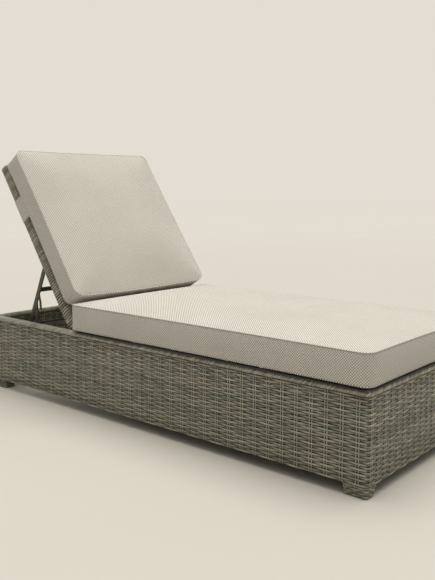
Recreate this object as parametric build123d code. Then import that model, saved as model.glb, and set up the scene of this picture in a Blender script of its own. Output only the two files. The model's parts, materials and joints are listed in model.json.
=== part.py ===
from build123d import *
import math
import os

# Reclining sun lounger: a woven box base with a slatted deck, a padded backrest on two hinge
# pins, and a prop frame whose foot rod runs in a notched guide plate on each side wall.
# Millimetres. +X points to the foot end, the near long side is at -Y and +Z is up.
# The origin is on the floor under the middle of the base.

# --- Driving dimensions -------------------------------------------------------------------
BASE_LENGTH = 2024.0
BASE_WIDTH = 860.0
RIM_HEIGHT = 343.0
FOOT_HEIGHT = 39.0
WALL = 30.0                 # thickness of a woven side wall, both skins and the cavity
SKIN = 5.0                  # thickness of one woven skin
RIM_THICK = 6.0
RIM_ROUND = 12.0

TUBE = 20.0                 # frame tubes inside the walls
TUBE_WALL = 1.6
TUBE_END_GAP = 2.0          # from the end of a long rail to the woven skin
RAIL_RISE = 6.0             # bottom rail above the feet
RAIL_DROP = 7.0             # top rail below the inside of the rim

HINGE_X = -472.0            # pin that the backrest turns on
HINGE_Z = 370.0
BACK_ANGLE = 55.5           # backrest above the horizontal, as modelled
STILE = 45.0                # wrapped section of the backrest frame
STILE_CORE = 30.0
CORE_WALL = 2.0
STILE_TAIL = 30.0           # how far the stile runs on below the pin
STILE_TOP = 815.0           # pin to the top of the backrest
STILE_OUTER = 392.0         # outer face of a stile from the centre line

PROP_REACH = 350.0          # hinge pin to prop pivot, along the stile
ROD_X = -800.0              # foot rod of the prop, as modelled
ROD_Z = 315.0
ROD_RADIUS = 6.0
PROP_RATIO = 0.5            # prop turn on the stile for each degree that the back reclines
PROP_PLATE = 6.0
PROP_INNER = 338.0          # inner face of a prop leg from the centre line

SEAT_REAR = -417.0
SEAT_FRONT = 1010.0
SEAT_HALF_WIDTH = 428.0
SEAT_BOTTOM = 345.0
SEAT_TOP = 464.0
BACK_CUSHION_LOW = 60.0     # along the stile from the pin
BACK_CUSHION_HIGH = 812.0
BACK_CUSHION_REAR = 30.0    # in front of the stile's centre line
BACK_CUSHION_FACE = 146.0
BACK_CUSHION_HALF_WIDTH = 406.0
CUSHION_CORNER = 34.0
CUSHION_EDGE = 14.0

SLAT_COUNT = 7
SLAT_WIDTH = 120.0
SLAT_THICK = 14.0
SLAT_WALL = 2.2
DECK_REAR = -430.0
DECK_FRONT = 980.0
LEDGE_TOP = 330.0
LEDGE = 28.0                # width of each flange of a deck ledge
LEDGE_THICK = 3.0
DECK_TUBE = 25.0
DECK_TUBE_WALL = 2.0
OVERCUT = 1.0               # how far a hole's cutter runs past a face

# --- Places worked out from them ----------------------------------------------------------
END_X = BASE_LENGTH / 2
SIDE_Y = BASE_WIDTH / 2
INNER_X = END_X - WALL
INNER_Y = SIDE_Y - WALL
CAVITY_TOP = RIM_HEIGHT - RIM_THICK
RAIL_LOW = FOOT_HEIGHT + RAIL_RISE
TOP_RAIL_LOW = CAVITY_TOP - RAIL_DROP - TUBE
STILE_INNER = STILE_OUTER - STILE
SIDES = {"near": -1, "far": 1}

os.makedirs("parts", exist_ok=True)

back_plane = Plane(
    origin=(HINGE_X, 0, HINGE_Z),
    x_dir=(-math.cos(math.radians(BACK_ANGLE)), 0, math.sin(math.radians(BACK_ANGLE))),
    z_dir=(math.sin(math.radians(BACK_ANGLE)), 0, math.cos(math.radians(BACK_ANGLE))),
)


# --- Helpers ------------------------------------------------------------------------------
def save(name, *solids):
    """Write one node; several solids make one node of like pieces."""
    shape = solids[0] if len(solids) == 1 else Compound(children=list(solids))
    export_step(shape, f"parts/{name}.step")


def block(x0, x1, y0, y1, z0, z1):
    """A box between two corners."""
    middle = Pos((x0 + x1) / 2, (y0 + y1) / 2, (z0 + z1) / 2)
    return middle * Box(abs(x1 - x0), abs(y1 - y0), abs(z1 - z0))


def side_block(side, x0, x1, inner, outer, z0, z1):
    """A box on one side of the centre line, from an inner to an outer distance."""
    return block(x0, x1, side * inner, side * outer, z0, z1)


def back_block(s0, s1, y0, y1, t0, t1):
    """A box in the backrest's frame: s up the stile from the pin, y across, t forwards."""
    return back_plane * block(s0, s1, -y1, -y0, t0, t1)


def tube_x(x0, x1, y0, z0, size, wall):
    """A square tube along X."""
    outer = block(x0, x1, y0, y0 + size, z0, z0 + size)
    return outer - block(x0, x1, y0 + wall, y0 + size - wall, z0 + wall, z0 + size - wall)


def tube_y(x0, y0, y1, z0, size, wall):
    """A square tube along Y."""
    outer = block(x0, x0 + size, y0, y1, z0, z0 + size)
    return outer - block(x0 + wall, x0 + size - wall, y0, y1, z0 + wall, z0 + size - wall)


def tube_z(x0, y0, z0, z1, size, wall):
    """A square tube along Z."""
    outer = block(x0, x0 + size, y0, y0 + size, z0, z1)
    return outer - block(x0 + wall, x0 + size - wall, y0 + wall, y0 + size - wall, z0, z1)


def plate(outline, side, inner, outer):
    """A side-view outline given a thickness, on one side of the centre line."""
    high = max(side * inner, side * outer)
    return extrude(Plane.XZ.offset(-high) * outline, amount=abs(outer - inner))


def shaft(x, z, y0, y1, radius):
    """A round bar along Y."""
    place = Pos(x, (y0 + y1) / 2, z) * Rot(90, 0, 0)
    return place * Cylinder(radius, abs(y1 - y0))


def post(x, y, z0, z1, radius):
    """A round bar along Z."""
    return Pos(x, y, (z0 + z1) / 2) * Cylinder(radius, z1 - z0)


def strip(start, end, width):
    """A flat bar with round ends between two side-view points."""
    middle = Pos((start[0] + end[0]) / 2, (start[1] + end[1]) / 2)
    turn = Rot(0, 0, math.degrees(math.atan2(end[1] - start[1], end[0] - start[0])))
    return middle * turn * SlotOverall(math.dist(start, end) + width, width)


def polar(origin, length, degrees):
    """The side-view point at a length and an angle from another."""
    turn = math.radians(degrees)
    return (origin[0] + length * math.cos(turn), origin[1] + length * math.sin(turn))


# --- Linkage in side view -----------------------------------------------------------------
hinge = (HINGE_X, HINGE_Z)
rod_rest = (ROD_X, ROD_Z)
pivot_rest = polar(hinge, PROP_REACH, 180.0 - BACK_ANGLE)
prop_length = math.dist(pivot_rest, rod_rest)
prop_heading = math.degrees(math.atan2(ROD_Z - pivot_rest[1], ROD_X - pivot_rest[0]))


def rod_place(recline):
    """Centre of the foot rod when the back has reclined by an angle from its upright stop."""
    pivot = polar(hinge, PROP_REACH, 180.0 - BACK_ANGLE + recline)
    return polar(pivot, prop_length, prop_heading + (1.0 + PROP_RATIO) * recline)


def beside_path(recline, offset):
    """A point beside the rod's path, offset to the outside of its bend."""
    before = rod_place(recline - 1.0)
    after = rod_place(recline + 1.0)
    heading = math.degrees(math.atan2(after[1] - before[1], after[0] - before[0]))
    return polar(rod_place(recline), offset, heading - 90.0)


# --- Woven walls of the base --------------------------------------------------------------
def side_wall(side):
    """A long wall: two skins joined by a rounded rim, open below over the frame tubes."""
    wall = side_block(side, -END_X, END_X, INNER_Y, SIDE_Y, FOOT_HEIGHT, RIM_HEIGHT)
    rim_edges = wall.edges().filter_by(Axis.X).sort_by(Axis.Z)[-2:]
    corner_edges = wall.edges().filter_by(Axis.Z).sort_by(Axis.Y)
    outer_corners = corner_edges[:2] if side < 0 else corner_edges[-2:]
    wall = fillet(rim_edges + outer_corners, RIM_ROUND)
    cavity_x = END_X - SKIN
    wall -= side_block(side, -cavity_x, cavity_x, INNER_Y + SKIN, SIDE_Y - SKIN,
                       FOOT_HEIGHT, CAVITY_TOP)
    for end in (-1, 1):
        wall -= side_block(side, end * cavity_x, end * (INNER_X + SKIN), INNER_Y, INNER_Y + SKIN,
                           FOOT_HEIGHT, CAVITY_TOP)
    return wall


def end_wall(end):
    """A short wall between the long ones, of the same section."""
    wall = block(end * INNER_X, end * END_X, -INNER_Y, INNER_Y, FOOT_HEIGHT, RIM_HEIGHT)
    rim_edges = wall.edges().filter_by(Axis.Y).sort_by(Axis.Z)[-2:]
    wall = fillet(rim_edges, RIM_ROUND)
    wall -= block(end * (INNER_X + SKIN), end * (END_X - SKIN), -INNER_Y, INNER_Y,
                  FOOT_HEIGHT, CAVITY_TOP)
    return wall


# --- Frame tubes inside the walls ---------------------------------------------------------
def base_frame():
    """Top and bottom rails, corner posts and middle posts."""
    rail_end = END_X - SKIN - TUBE_END_GAP
    cross_y = INNER_Y + SKIN
    for name, side in SIDES.items():
        low_y = min(side * cross_y, side * (cross_y + TUBE))
        save(f"top_rail_{name}", tube_x(-rail_end, rail_end, low_y, TOP_RAIL_LOW, TUBE, TUBE_WALL))
        save(f"bottom_rail_{name}", tube_x(-rail_end, rail_end, low_y, RAIL_LOW, TUBE, TUBE_WALL))
        middle = tube_z(-TUBE / 2, low_y, RAIL_LOW + TUBE, TOP_RAIL_LOW, TUBE, TUBE_WALL)
        save(f"middle_post_{name}", middle)
    for name, end in (("head", -1), ("foot", 1)):
        low_x = min(end * (END_X - SKIN), end * (END_X - SKIN - TUBE))
        save(f"top_rail_{name}", tube_y(low_x, -cross_y, cross_y, TOP_RAIL_LOW, TUBE, TUBE_WALL))
        save(f"bottom_rail_{name}", tube_y(low_x, -cross_y, cross_y, RAIL_LOW, TUBE, TUBE_WALL))
        for side_name, side in SIDES.items():
            low_y = min(side * cross_y, side * (cross_y + TUBE))
            post_x = min(end * rail_end, end * (rail_end - TUBE))
            post = tube_z(post_x, low_y, RAIL_LOW + TUBE, TOP_RAIL_LOW, TUBE, TUBE_WALL)
            save(f"corner_post_{name}_{side_name}", post)


# --- Feet ---------------------------------------------------------------------------------
FOOT_LONG = 96.0
FOOT_DEEP = 66.0
FOOT_INSET = 1.0
FOOT_TAPER = 7.0
PLUG_HALF = 30.0            # block that plugs a foot into its wall
PLUG_GAP = 0.5
GLIDE_THICK = 3.0
GLIDE_HALF_LONG = 32.0
GLIDE_HALF_DEEP = 20.0
GLIDE_ROUND = 8.0


def feet():
    """Four tapered corner feet, each plugged into the wall above, on moulded glides."""
    glides = []
    for end_name, end in (("head", -1), ("foot", 1)):
        for side_name, side in SIDES.items():
            x = end * (END_X - FOOT_INSET - FOOT_LONG / 2)
            y = side * (SIDE_Y - FOOT_INSET - FOOT_DEEP / 2)
            top = Plane(origin=(x, y, FOOT_HEIGHT)) * Rectangle(FOOT_LONG, FOOT_DEEP)
            sole_size = (FOOT_LONG - 2 * FOOT_TAPER, FOOT_DEEP - 2 * FOOT_TAPER)
            sole = Plane(origin=(x, y, GLIDE_THICK)) * Rectangle(*sole_size)
            body = loft(Sketch() + [sole, top])
            plug = side_block(side, x - PLUG_HALF, x + PLUG_HALF, INNER_Y + SKIN + PLUG_GAP,
                              SIDE_Y - SKIN - PLUG_GAP, FOOT_HEIGHT, RAIL_LOW)
            save(f"foot_{end_name}_{side_name}", body + plug)
            pad = block(x - GLIDE_HALF_LONG, x + GLIDE_HALF_LONG, y - GLIDE_HALF_DEEP,
                        y + GLIDE_HALF_DEEP, 0.0, GLIDE_THICK)
            glides.append(fillet(pad.edges().filter_by(Axis.Z), GLIDE_ROUND))
    save("foot_glides", *glides)


# --- Deck ---------------------------------------------------------------------------------
SLAT_MARGIN = 1.5           # clear of each end of the ledges
SLAT_END_GAP = 4.0
SLAT_ROUND = 4.0
SCREW_INSET = 30.0          # from the long edges of a slat
SCREW_RADIUS = 2.5
HEAD_RADIUS = 4.8
HEAD_HIGH = 3.0
POCKET_RADIUS = 5.0
POCKET_DEEP = 4.0


def screw_places(low_x):
    """Where the four screws of one slat stand."""
    edges = (low_x + SCREW_INSET, low_x + SLAT_WIDTH - SCREW_INSET)
    return [(x, side * (INNER_Y - LEDGE / 2)) for side in SIDES.values() for x in edges]


def deck():
    """Angle ledges on the side walls, two cross tubes and the slats, with their screws."""
    rear_tube_x = DECK_REAR - DECK_TUBE
    for name, side in SIDES.items():
        upright = side_block(side, rear_tube_x, DECK_FRONT, INNER_Y - LEDGE_THICK, INNER_Y,
                             LEDGE_TOP - LEDGE, LEDGE_TOP)
        shelf = side_block(side, rear_tube_x, DECK_FRONT, INNER_Y - LEDGE, INNER_Y,
                           LEDGE_TOP - LEDGE_THICK, LEDGE_TOP)
        save(f"deck_ledge_{name}", upright + shelf)
    tube_end = INNER_Y - LEDGE_THICK
    tube_low = LEDGE_TOP - LEDGE_THICK - DECK_TUBE
    for name, low_x in (("rear", rear_tube_x), ("middle", (DECK_REAR + DECK_FRONT) / 2)):
        save(f"deck_tube_{name}", tube_y(low_x, -tube_end, tube_end, tube_low, DECK_TUBE, DECK_TUBE_WALL))
    pitch = (DECK_FRONT - DECK_REAR - 2 * SLAT_MARGIN - SLAT_WIDTH) / (SLAT_COUNT - 1)
    slat_end = INNER_Y - SLAT_END_GAP
    slat_top = LEDGE_TOP + SLAT_THICK
    pocket_floor = slat_top - POCKET_DEEP
    screws = []
    for number in range(SLAT_COUNT):
        low_x = DECK_REAR + SLAT_MARGIN + number * pitch
        slat = block(low_x, low_x + SLAT_WIDTH, -slat_end, slat_end, LEDGE_TOP, slat_top)
        slat = fillet(slat.edges().filter_by(Axis.Y).sort_by(Axis.Z)[-2:], SLAT_ROUND)
        slat -= block(low_x + SLAT_WALL, low_x + SLAT_WIDTH - SLAT_WALL, -INNER_Y, INNER_Y,
                      LEDGE_TOP + SLAT_WALL, slat_top - SLAT_WALL)
        for x, y in screw_places(low_x):
            slat -= post(x, y, pocket_floor, slat_top, POCKET_RADIUS)
            slat -= post(x, y, LEDGE_TOP, slat_top, SCREW_RADIUS)
            shank = post(x, y, LEDGE_TOP, pocket_floor, SCREW_RADIUS)
            screws.append(shank + post(x, y, pocket_floor, pocket_floor + HEAD_HIGH, HEAD_RADIUS))
        save(f"deck_slat_{number + 1}", slat)
    save("slat_screws", *screws)


# --- Backrest hinge -----------------------------------------------------------------------
PIN_RADIUS = 6.0
PIN_GAP = 0.06              # running clearance, radial
BRACKET_INNER = 339.0
BRACKET_THICK = 6.0
BRACKET_EYE = 16.0          # outer radius round the pin
BRACKET_FLANGE = 20.0
PIN_OVERHANG = 3.0


def hinge_parts():
    """A bracket welded on the rear deck tube and a pin for each stile."""
    tube_rear = DECK_REAR - DECK_TUBE
    tube_top = LEDGE_TOP - LEDGE_THICK
    corners = [
        (HINGE_X - BRACKET_EYE, HINGE_Z),
        (tube_rear - BRACKET_FLANGE, tube_top - BRACKET_FLANGE),
        (tube_rear, tube_top - BRACKET_FLANGE),
        (tube_rear, tube_top),
        (DECK_REAR, tube_top),
        (HINGE_X + BRACKET_EYE, HINGE_Z),
    ]
    web = make_face(Polyline(*corners, close=True))
    outline = web + Pos(*hinge) * Circle(BRACKET_EYE) - Pos(*hinge) * Circle(PIN_RADIUS)
    for name, side in SIDES.items():
        save(f"hinge_bracket_{name}", plate(outline, side, BRACKET_INNER, BRACKET_INNER + BRACKET_THICK))
        pin_inner = side * (BRACKET_INNER - PIN_OVERHANG)
        save(f"hinge_pin_{name}", shaft(*hinge, pin_inner, side * (STILE_OUTER + PIN_OVERHANG), PIN_RADIUS))


# --- Guide plates for the prop's foot rod -------------------------------------------------
GUIDE_THICK = 6.0
SLOT_GAP = 0.8
GUIDE_MARGIN = 17.0
NOTCH_COUNT = 3
NOTCH_DEEP = 5.0
PATH_STEPS = 14
BOLT_PLACES = (6.0, BACK_ANGLE / 2, BACK_ANGLE - 6.0)    # recline beside which each bolt stands
BOLT_OFFSET = 30.0
BOLT_BOSS = 15.0
BOLT_RADIUS = 3.0
BOLT_HEAD = 5.5
BOLT_HEAD_HIGH = 2.5


def path_band(width):
    """A band of one width along the rod's whole path, with round ends."""
    places = [rod_place(BACK_ANGLE * step / PATH_STEPS) for step in range(PATH_STEPS + 1)]
    band = strip(places[0], places[1], width)
    for start, end in zip(places[1:], places[2:]):
        band += strip(start, end, width)
    return band


def guide_parts():
    """Side plates with a curved slot along the rod's path and notches on its outer edge."""
    slot_width = 2 * (ROD_RADIUS + SLOT_GAP)
    outline = path_band(slot_width + 2 * GUIDE_MARGIN)
    bolt_places = [beside_path(recline, BOLT_OFFSET) for recline in BOLT_PLACES]
    for place in bolt_places:
        outline += Pos(*place) * Circle(BOLT_BOSS)
    outline -= path_band(slot_width)
    for notch in range(1, NOTCH_COUNT + 1):
        recline = BACK_ANGLE * notch / (NOTCH_COUNT + 1)
        outline -= Pos(*beside_path(recline, NOTCH_DEEP)) * Circle(slot_width / 2)
    for place in bolt_places:
        outline -= Pos(*place) * Circle(BOLT_RADIUS)
    bolts = []
    for name, side in SIDES.items():
        inner = INNER_Y - GUIDE_THICK
        save(f"guide_plate_{name}", plate(outline, side, inner, INNER_Y))
        for place in bolt_places:
            shank = shaft(*place, side * inner, side * INNER_Y, BOLT_RADIUS)
            bolts.append(shank + shaft(*place, side * (inner - BOLT_HEAD_HIGH), side * inner, BOLT_HEAD))
    save("guide_bolts", *bolts)


# --- Backrest -----------------------------------------------------------------------------
PROP_PIN_RADIUS = 5.0
PROP_PIN_HOLE = 15.0        # depth of the prop pin's hole in a stile
STILE_CAP = 8.0             # solid end of a sleeve
STILE_ROUND = 9.0
LOWER_RAIL = 25.0
LOWER_RAIL_AT = 75.0        # along the stile from the pin
PANEL_REAR = 12.0
PANEL_FRONT = 20.0
PANEL_GAP = 0.5


def stile_parts():
    """Two aluminium stiles in a woven sleeve, drilled for the hinge and prop pins."""
    half = STILE / 2
    core_half = STILE_CORE / 2
    core_inset = (STILE - STILE_CORE) / 2
    bore_half = core_half - CORE_WALL
    core_top = STILE_TOP - STILE_CAP
    for name, side in SIDES.items():
        low, high = sorted((side * STILE_INNER, side * STILE_OUTER))
        sleeve = back_block(-STILE_TAIL, STILE_TOP, low, high, -half, half)
        sleeve = fillet(sleeve.edges().filter_by(lambda edge: edge.length > STILE_TOP), STILE_ROUND)
        core_low = low + core_inset
        core_high = high - core_inset
        core = back_block(-STILE_TAIL, core_top, core_low, core_high, -core_half, core_half)
        bore = back_block(-STILE_TAIL, core_top, core_low + CORE_WALL, core_high - CORE_WALL,
                          -bore_half, bore_half)
        inner = STILE_INNER - OVERCUT
        holes = shaft(*hinge, side * inner, side * (STILE_OUTER + OVERCUT), PIN_RADIUS + PIN_GAP)
        holes += shaft(*pivot_rest, side * inner, side * (STILE_INNER + PROP_PIN_HOLE), PROP_PIN_RADIUS)
        save(f"stile_wrap_{name}", sleeve - core - holes)
        save(f"stile_core_{name}", core - bore - holes)


def cross_rail(middle, size, wall):
    """A square tube across the backrest, between the stiles."""
    half = size / 2
    bore = half - wall
    outer = back_block(middle - half, middle + half, -STILE_INNER, STILE_INNER, -half, half)
    return outer - back_block(middle - bore, middle + bore, -STILE_INNER, STILE_INNER, -bore, bore)


def back_frame():
    """The wrapped top rail, the bare bottom rail and the woven panel between the stiles."""
    rail_middle = STILE_TOP - STILE / 2
    save("back_rail_wrap", cross_rail(rail_middle, STILE, (STILE - STILE_CORE) / 2))
    save("back_rail_core", cross_rail(rail_middle, STILE_CORE, CORE_WALL))
    save("back_rail_lower", cross_rail(LOWER_RAIL_AT + LOWER_RAIL / 2, LOWER_RAIL, CORE_WALL))
    panel_edge = STILE_INNER - PANEL_GAP
    save("back_panel", back_block(LOWER_RAIL_AT + LOWER_RAIL + PANEL_GAP, STILE_TOP - STILE - PANEL_GAP,
                                  -panel_edge, panel_edge, PANEL_REAR, PANEL_FRONT))


# --- Prop frame ---------------------------------------------------------------------------
CROSS_BAR_RADIUS = 10.5
LEG_FOOT = (-29.0, -9.0)    # points of a leg in side view, from the middle of the foot rod
FORK_KNEE = (36.0, 30.0)
FORK_TOE = (22.0, -3.0)
HOOK_KNEE = (56.0, 110.0)
HOOK_TIP = (58.0, 78.0)
FORK_RISE = 115.0           # heights above the foot rod at which parts leave the leg
HOOK_RISE = 151.0
BAR_RISE = 165.0
LEG_WIDTH = 21.0
FORK_WIDTH = 11.0
TIE_WIDTH = 12.0
HOOK_WIDTH = 9.0
PIVOT_BOSS = 12.0
ROD_BOSS = 12.0
HOOK_BALL = 6.0
PROP_PIN_HEAD = 8.0
PROP_PIN_HEAD_HIGH = 3.5
PROP_PIN_REACH = 12.0       # into the stile
LEG_SIDE_GAP = 1.0          # between a pin head and its leg, and between the rod and a side wall


def prop_parts():
    """Two forked legs with a hook each, a cross bar, the foot rod and the pivot pins."""

    def from_rod(offset):
        return (ROD_X + offset[0], ROD_Z + offset[1])

    foot = from_rod(LEG_FOOT)

    def on_leg(rise):
        z = ROD_Z + rise
        share = (pivot_rest[1] - z) / (pivot_rest[1] - foot[1])
        return (pivot_rest[0] + share * (foot[0] - pivot_rest[0]), z)

    fork_knee = from_rod(FORK_KNEE)
    fork_toe = from_rod(FORK_TOE)
    hook_knee = from_rod(HOOK_KNEE)
    hook_tip = from_rod(HOOK_TIP)
    leg = strip(pivot_rest, foot, LEG_WIDTH) + Pos(*pivot_rest) * Circle(PIVOT_BOSS)
    leg += strip(on_leg(FORK_RISE), fork_knee, FORK_WIDTH) + strip(fork_knee, fork_toe, FORK_WIDTH)
    leg += strip(foot, rod_rest, TIE_WIDTH) + strip(rod_rest, fork_toe, TIE_WIDTH)
    leg += strip(on_leg(HOOK_RISE), hook_knee, HOOK_WIDTH) + strip(hook_knee, hook_tip, HOOK_WIDTH)
    leg += Pos(*hook_tip) * Circle(HOOK_BALL) + Pos(*rod_rest) * Circle(ROD_BOSS)
    leg -= Pos(*pivot_rest) * Circle(PROP_PIN_RADIUS + PIN_GAP)
    leg -= Pos(*rod_rest) * Circle(ROD_RADIUS)
    head_outer = PROP_INNER - LEG_SIDE_GAP
    head_inner = head_outer - PROP_PIN_HEAD_HIGH
    for name, side in SIDES.items():
        save(f"prop_leg_{name}", plate(leg, side, PROP_INNER, PROP_INNER + PROP_PLATE))
        pin = shaft(*pivot_rest, side * head_outer, side * (STILE_INNER + PROP_PIN_REACH), PROP_PIN_RADIUS)
        head = shaft(*pivot_rest, side * head_inner, side * head_outer, PROP_PIN_HEAD)
        save(f"prop_pin_{name}", pin + head)
    save("prop_cross_bar", shaft(*on_leg(BAR_RISE), -PROP_INNER, PROP_INNER, CROSS_BAR_RADIUS))
    rod_end = INNER_Y - LEG_SIDE_GAP
    save("prop_foot_rod", shaft(*rod_rest, -rod_end, rod_end, ROD_RADIUS))


# --- Cushions and strap -------------------------------------------------------------------
STRAP_LOW = 522.0
STRAP_HIGH = 634.0
STRAP_THICK = 2.5
STRAP_GAP = 0.5             # between the strap's ends and the cushion


def boxed_cushion(*corners):
    """A block with rounded corners in plan and a softened top edge."""
    pad = block(*corners)
    pad = fillet(pad.edges().filter_by(Axis.Z), CUSHION_CORNER)
    return fillet(pad.faces().sort_by(Axis.Z)[-1].edges(), CUSHION_EDGE)


def soft_parts():
    """Plain closed solids for the two cushions and the strap round the backrest frame."""
    save("seat_cushion", boxed_cushion(SEAT_REAR, SEAT_FRONT, -SEAT_HALF_WIDTH, SEAT_HALF_WIDTH,
                                       SEAT_BOTTOM, SEAT_TOP))
    half_width = BACK_CUSHION_HALF_WIDTH
    back = boxed_cushion(BACK_CUSHION_LOW, BACK_CUSHION_HIGH, -half_width, half_width,
                         BACK_CUSHION_REAR, BACK_CUSHION_FACE)
    save("back_cushion", back_plane * back)
    stile_rear = -STILE / 2
    outside = STILE_OUTER + STRAP_THICK
    strap = back_block(STRAP_LOW, STRAP_HIGH, -outside, outside, stile_rear - STRAP_THICK,
                       BACK_CUSHION_REAR - STRAP_GAP)
    strap -= back_block(STRAP_LOW, STRAP_HIGH, -STILE_OUTER, STILE_OUTER, stile_rear, BACK_CUSHION_REAR)
    save("back_strap", strap)


for wall_name, wall_side in SIDES.items():
    save(f"woven_wall_{wall_name}", side_wall(wall_side))
save("woven_wall_head", end_wall(-1))
save("woven_wall_foot", end_wall(1))
base_frame()
feet()
deck()
hinge_parts()
guide_parts()
stile_parts()
back_frame()
prop_parts()
soft_parts()
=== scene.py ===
import json
import math

import bpy
import numpy as np
from bpy.props import FloatProperty, FloatVectorProperty, IntProperty, PointerProperty
from bpy.types import Operator, Panel, PropertyGroup
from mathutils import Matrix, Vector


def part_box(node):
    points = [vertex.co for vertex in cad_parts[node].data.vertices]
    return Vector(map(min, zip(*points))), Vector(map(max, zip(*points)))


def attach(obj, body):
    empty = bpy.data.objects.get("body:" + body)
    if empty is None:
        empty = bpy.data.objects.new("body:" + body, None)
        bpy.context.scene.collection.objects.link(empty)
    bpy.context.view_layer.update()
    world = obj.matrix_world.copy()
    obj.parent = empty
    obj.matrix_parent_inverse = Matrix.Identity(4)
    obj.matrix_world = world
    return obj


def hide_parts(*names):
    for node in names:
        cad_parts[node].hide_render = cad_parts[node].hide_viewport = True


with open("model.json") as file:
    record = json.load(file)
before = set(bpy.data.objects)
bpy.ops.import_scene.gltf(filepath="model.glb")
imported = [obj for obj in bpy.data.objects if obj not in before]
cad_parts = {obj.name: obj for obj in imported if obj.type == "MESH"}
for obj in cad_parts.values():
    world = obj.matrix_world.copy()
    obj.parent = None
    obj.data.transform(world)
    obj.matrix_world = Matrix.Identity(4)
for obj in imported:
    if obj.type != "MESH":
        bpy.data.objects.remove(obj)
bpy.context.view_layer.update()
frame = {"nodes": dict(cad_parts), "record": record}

bl_info = {
    "name": "Woven sun lounger",
    "version": (1, 0, 0),
    "blender": (4, 5, 0),
    "location": "3D View > Sidebar > Lounger",
    "description": "Weave, cushions, strap, finishes and studio for a reclining sun lounger",
    "category": "Object",
}


def corners_of(node):
    """The low and the high corner of a node's box, as arrays."""
    return tuple(np.array(corner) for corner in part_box(node))


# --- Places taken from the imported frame, in metres ------------------------------------------
joint_facts = {joint["name"]: joint for joint in frame["record"]["behaviour"]["joints"]}
recline_facts = joint_facts["backrest_recline"]
HINGE = np.array(recline_facts["pos_m"])
BACK_ANGLE = math.radians(recline_facts["range_deg"][1])
UP_STILE = np.array([-math.cos(BACK_ANGLE), 0.0, math.sin(BACK_ANGLE)])
FORWARD = np.array([math.sin(BACK_ANGLE), 0.0, math.cos(BACK_ANGLE)])
ACROSS = np.array([0.0, 1.0, 0.0])

wall_low, wall_high = corners_of("woven_wall_near")
END_X = wall_high[0]
SIDE_Y = -wall_low[1]
WALL = wall_high[1] - wall_low[1]
WALL_LOW_Z = wall_low[2]
RIM_Z = wall_high[2]
SEAT_REAR = corners_of("seat_cushion")[0][0]
RIM_ROUND = 0.0155          # radius of the two rounded edges of the rim
INNER_CORNER = 0.004        # radius of the corners inside the base

SIDES = {"near": -1, "far": 1}
ENDS = {"head": -1, "foot": 1}


def along_stile(point):
    """Distances of a point up the stile from the pin and forwards of the stile's middle."""
    reach = np.asarray(point) - HINGE
    return reach @ UP_STILE, reach @ FORWARD


def stile_place(up, across, forward):
    """World points from backrest distances: up the stile, across, and forwards."""
    up, across, forward = np.broadcast_arrays(up, across, forward)
    return (HINGE + up[..., None] * UP_STILE + across[..., None] * ACROSS
            + forward[..., None] * FORWARD)


# --- Settings -------------------------------------------------------------------------------
def length_setting(name, description, default):
    """A setting in metres."""
    return FloatProperty(name=name, description=description, default=default, unit="LENGTH")


def colour_setting(name, description, default):
    """A setting that is a colour."""
    return FloatVectorProperty(name=name, description=description, default=default,
                               subtype="COLOR", size=3)


class WeaveSettings(PropertyGroup):
    row_pitch: length_setting("Row pitch", "Height of one woven row", 0.0083)
    strand_width: length_setting("Strand width", "Width of a flat resin strand", 0.0073)
    strand_thick: length_setting("Strand thickness", "Thickness of a strand", 0.0024)
    swing: length_setting("Swing", "How far a row passes in and out of the stakes", 0.0022)
    stake_radius: length_setting("Stake radius", "Radius of an upright stake", 0.0023)
    stake_gap: length_setting("Stake gap", "Middle to middle of a pair of stakes", 0.0095)
    side_stakes: FloatProperty(name="Stakes on a side", description="Stake spacings in a long wall",
                               default=35.5)
    end_stakes: FloatProperty(name="Stakes on an end", description="Stake spacings in a short wall",
                              default=19.5)
    rim_pitch: length_setting("Rim pitch", "Spacing of the strands over the rim", 0.0076)
    sleeve_pitch: length_setting("Sleeve pitch", "Spacing of turns round the backrest", 0.0112)
    dark: colour_setting("Dark strand", "Darkest strand colour", (0.108, 0.104, 0.080))
    grey: colour_setting("Grey strand", "Main strand colour", (0.300, 0.288, 0.226))
    brown: colour_setting("Brown strand", "Warm strand colour", (0.336, 0.294, 0.216))
    green: colour_setting("Green strand", "Cool strand colour", (0.258, 0.274, 0.216))


class CushionSettings(PropertyGroup):
    pressure: FloatProperty(name="Pressure", description="Filling pressure of the cloth", default=4.0)
    frames: IntProperty(name="Frames", description="Cloth frames stepped through", default=20)
    seat_swell: length_setting("Seat swell", "Most that a seat point may move", 0.024)
    back_swell: length_setting("Back swell", "Most that a back point may move", 0.026)
    cell: length_setting("Cell", "Mesh cell before the last subdivision", 0.0135)
    light: colour_setting("Light yarn", "Cream yarn colour", (1.0, 0.965, 0.885))
    shade: colour_setting("Dark yarn", "Taupe yarn colour", (0.400, 0.370, 0.308))
    yarn: length_setting("Yarn pitch", "Width of one block of the weave", 0.0048)


class StageSettings(PropertyGroup):
    floor: colour_setting("Floor", "Floor colour", (0.682, 0.648, 0.582))
    far_floor: colour_setting("Far floor", "Floor colour far from the object", (0.716, 0.682, 0.640))
    backdrop: colour_setting("Backdrop", "Colour behind the object", (0.768, 0.722, 0.652))
    fill: FloatProperty(name="Fill", description="Strength of the soft light overhead", default=0.75)
    key: FloatProperty(name="Key", description="Strength of the soft light from above", default=1.84)


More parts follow.
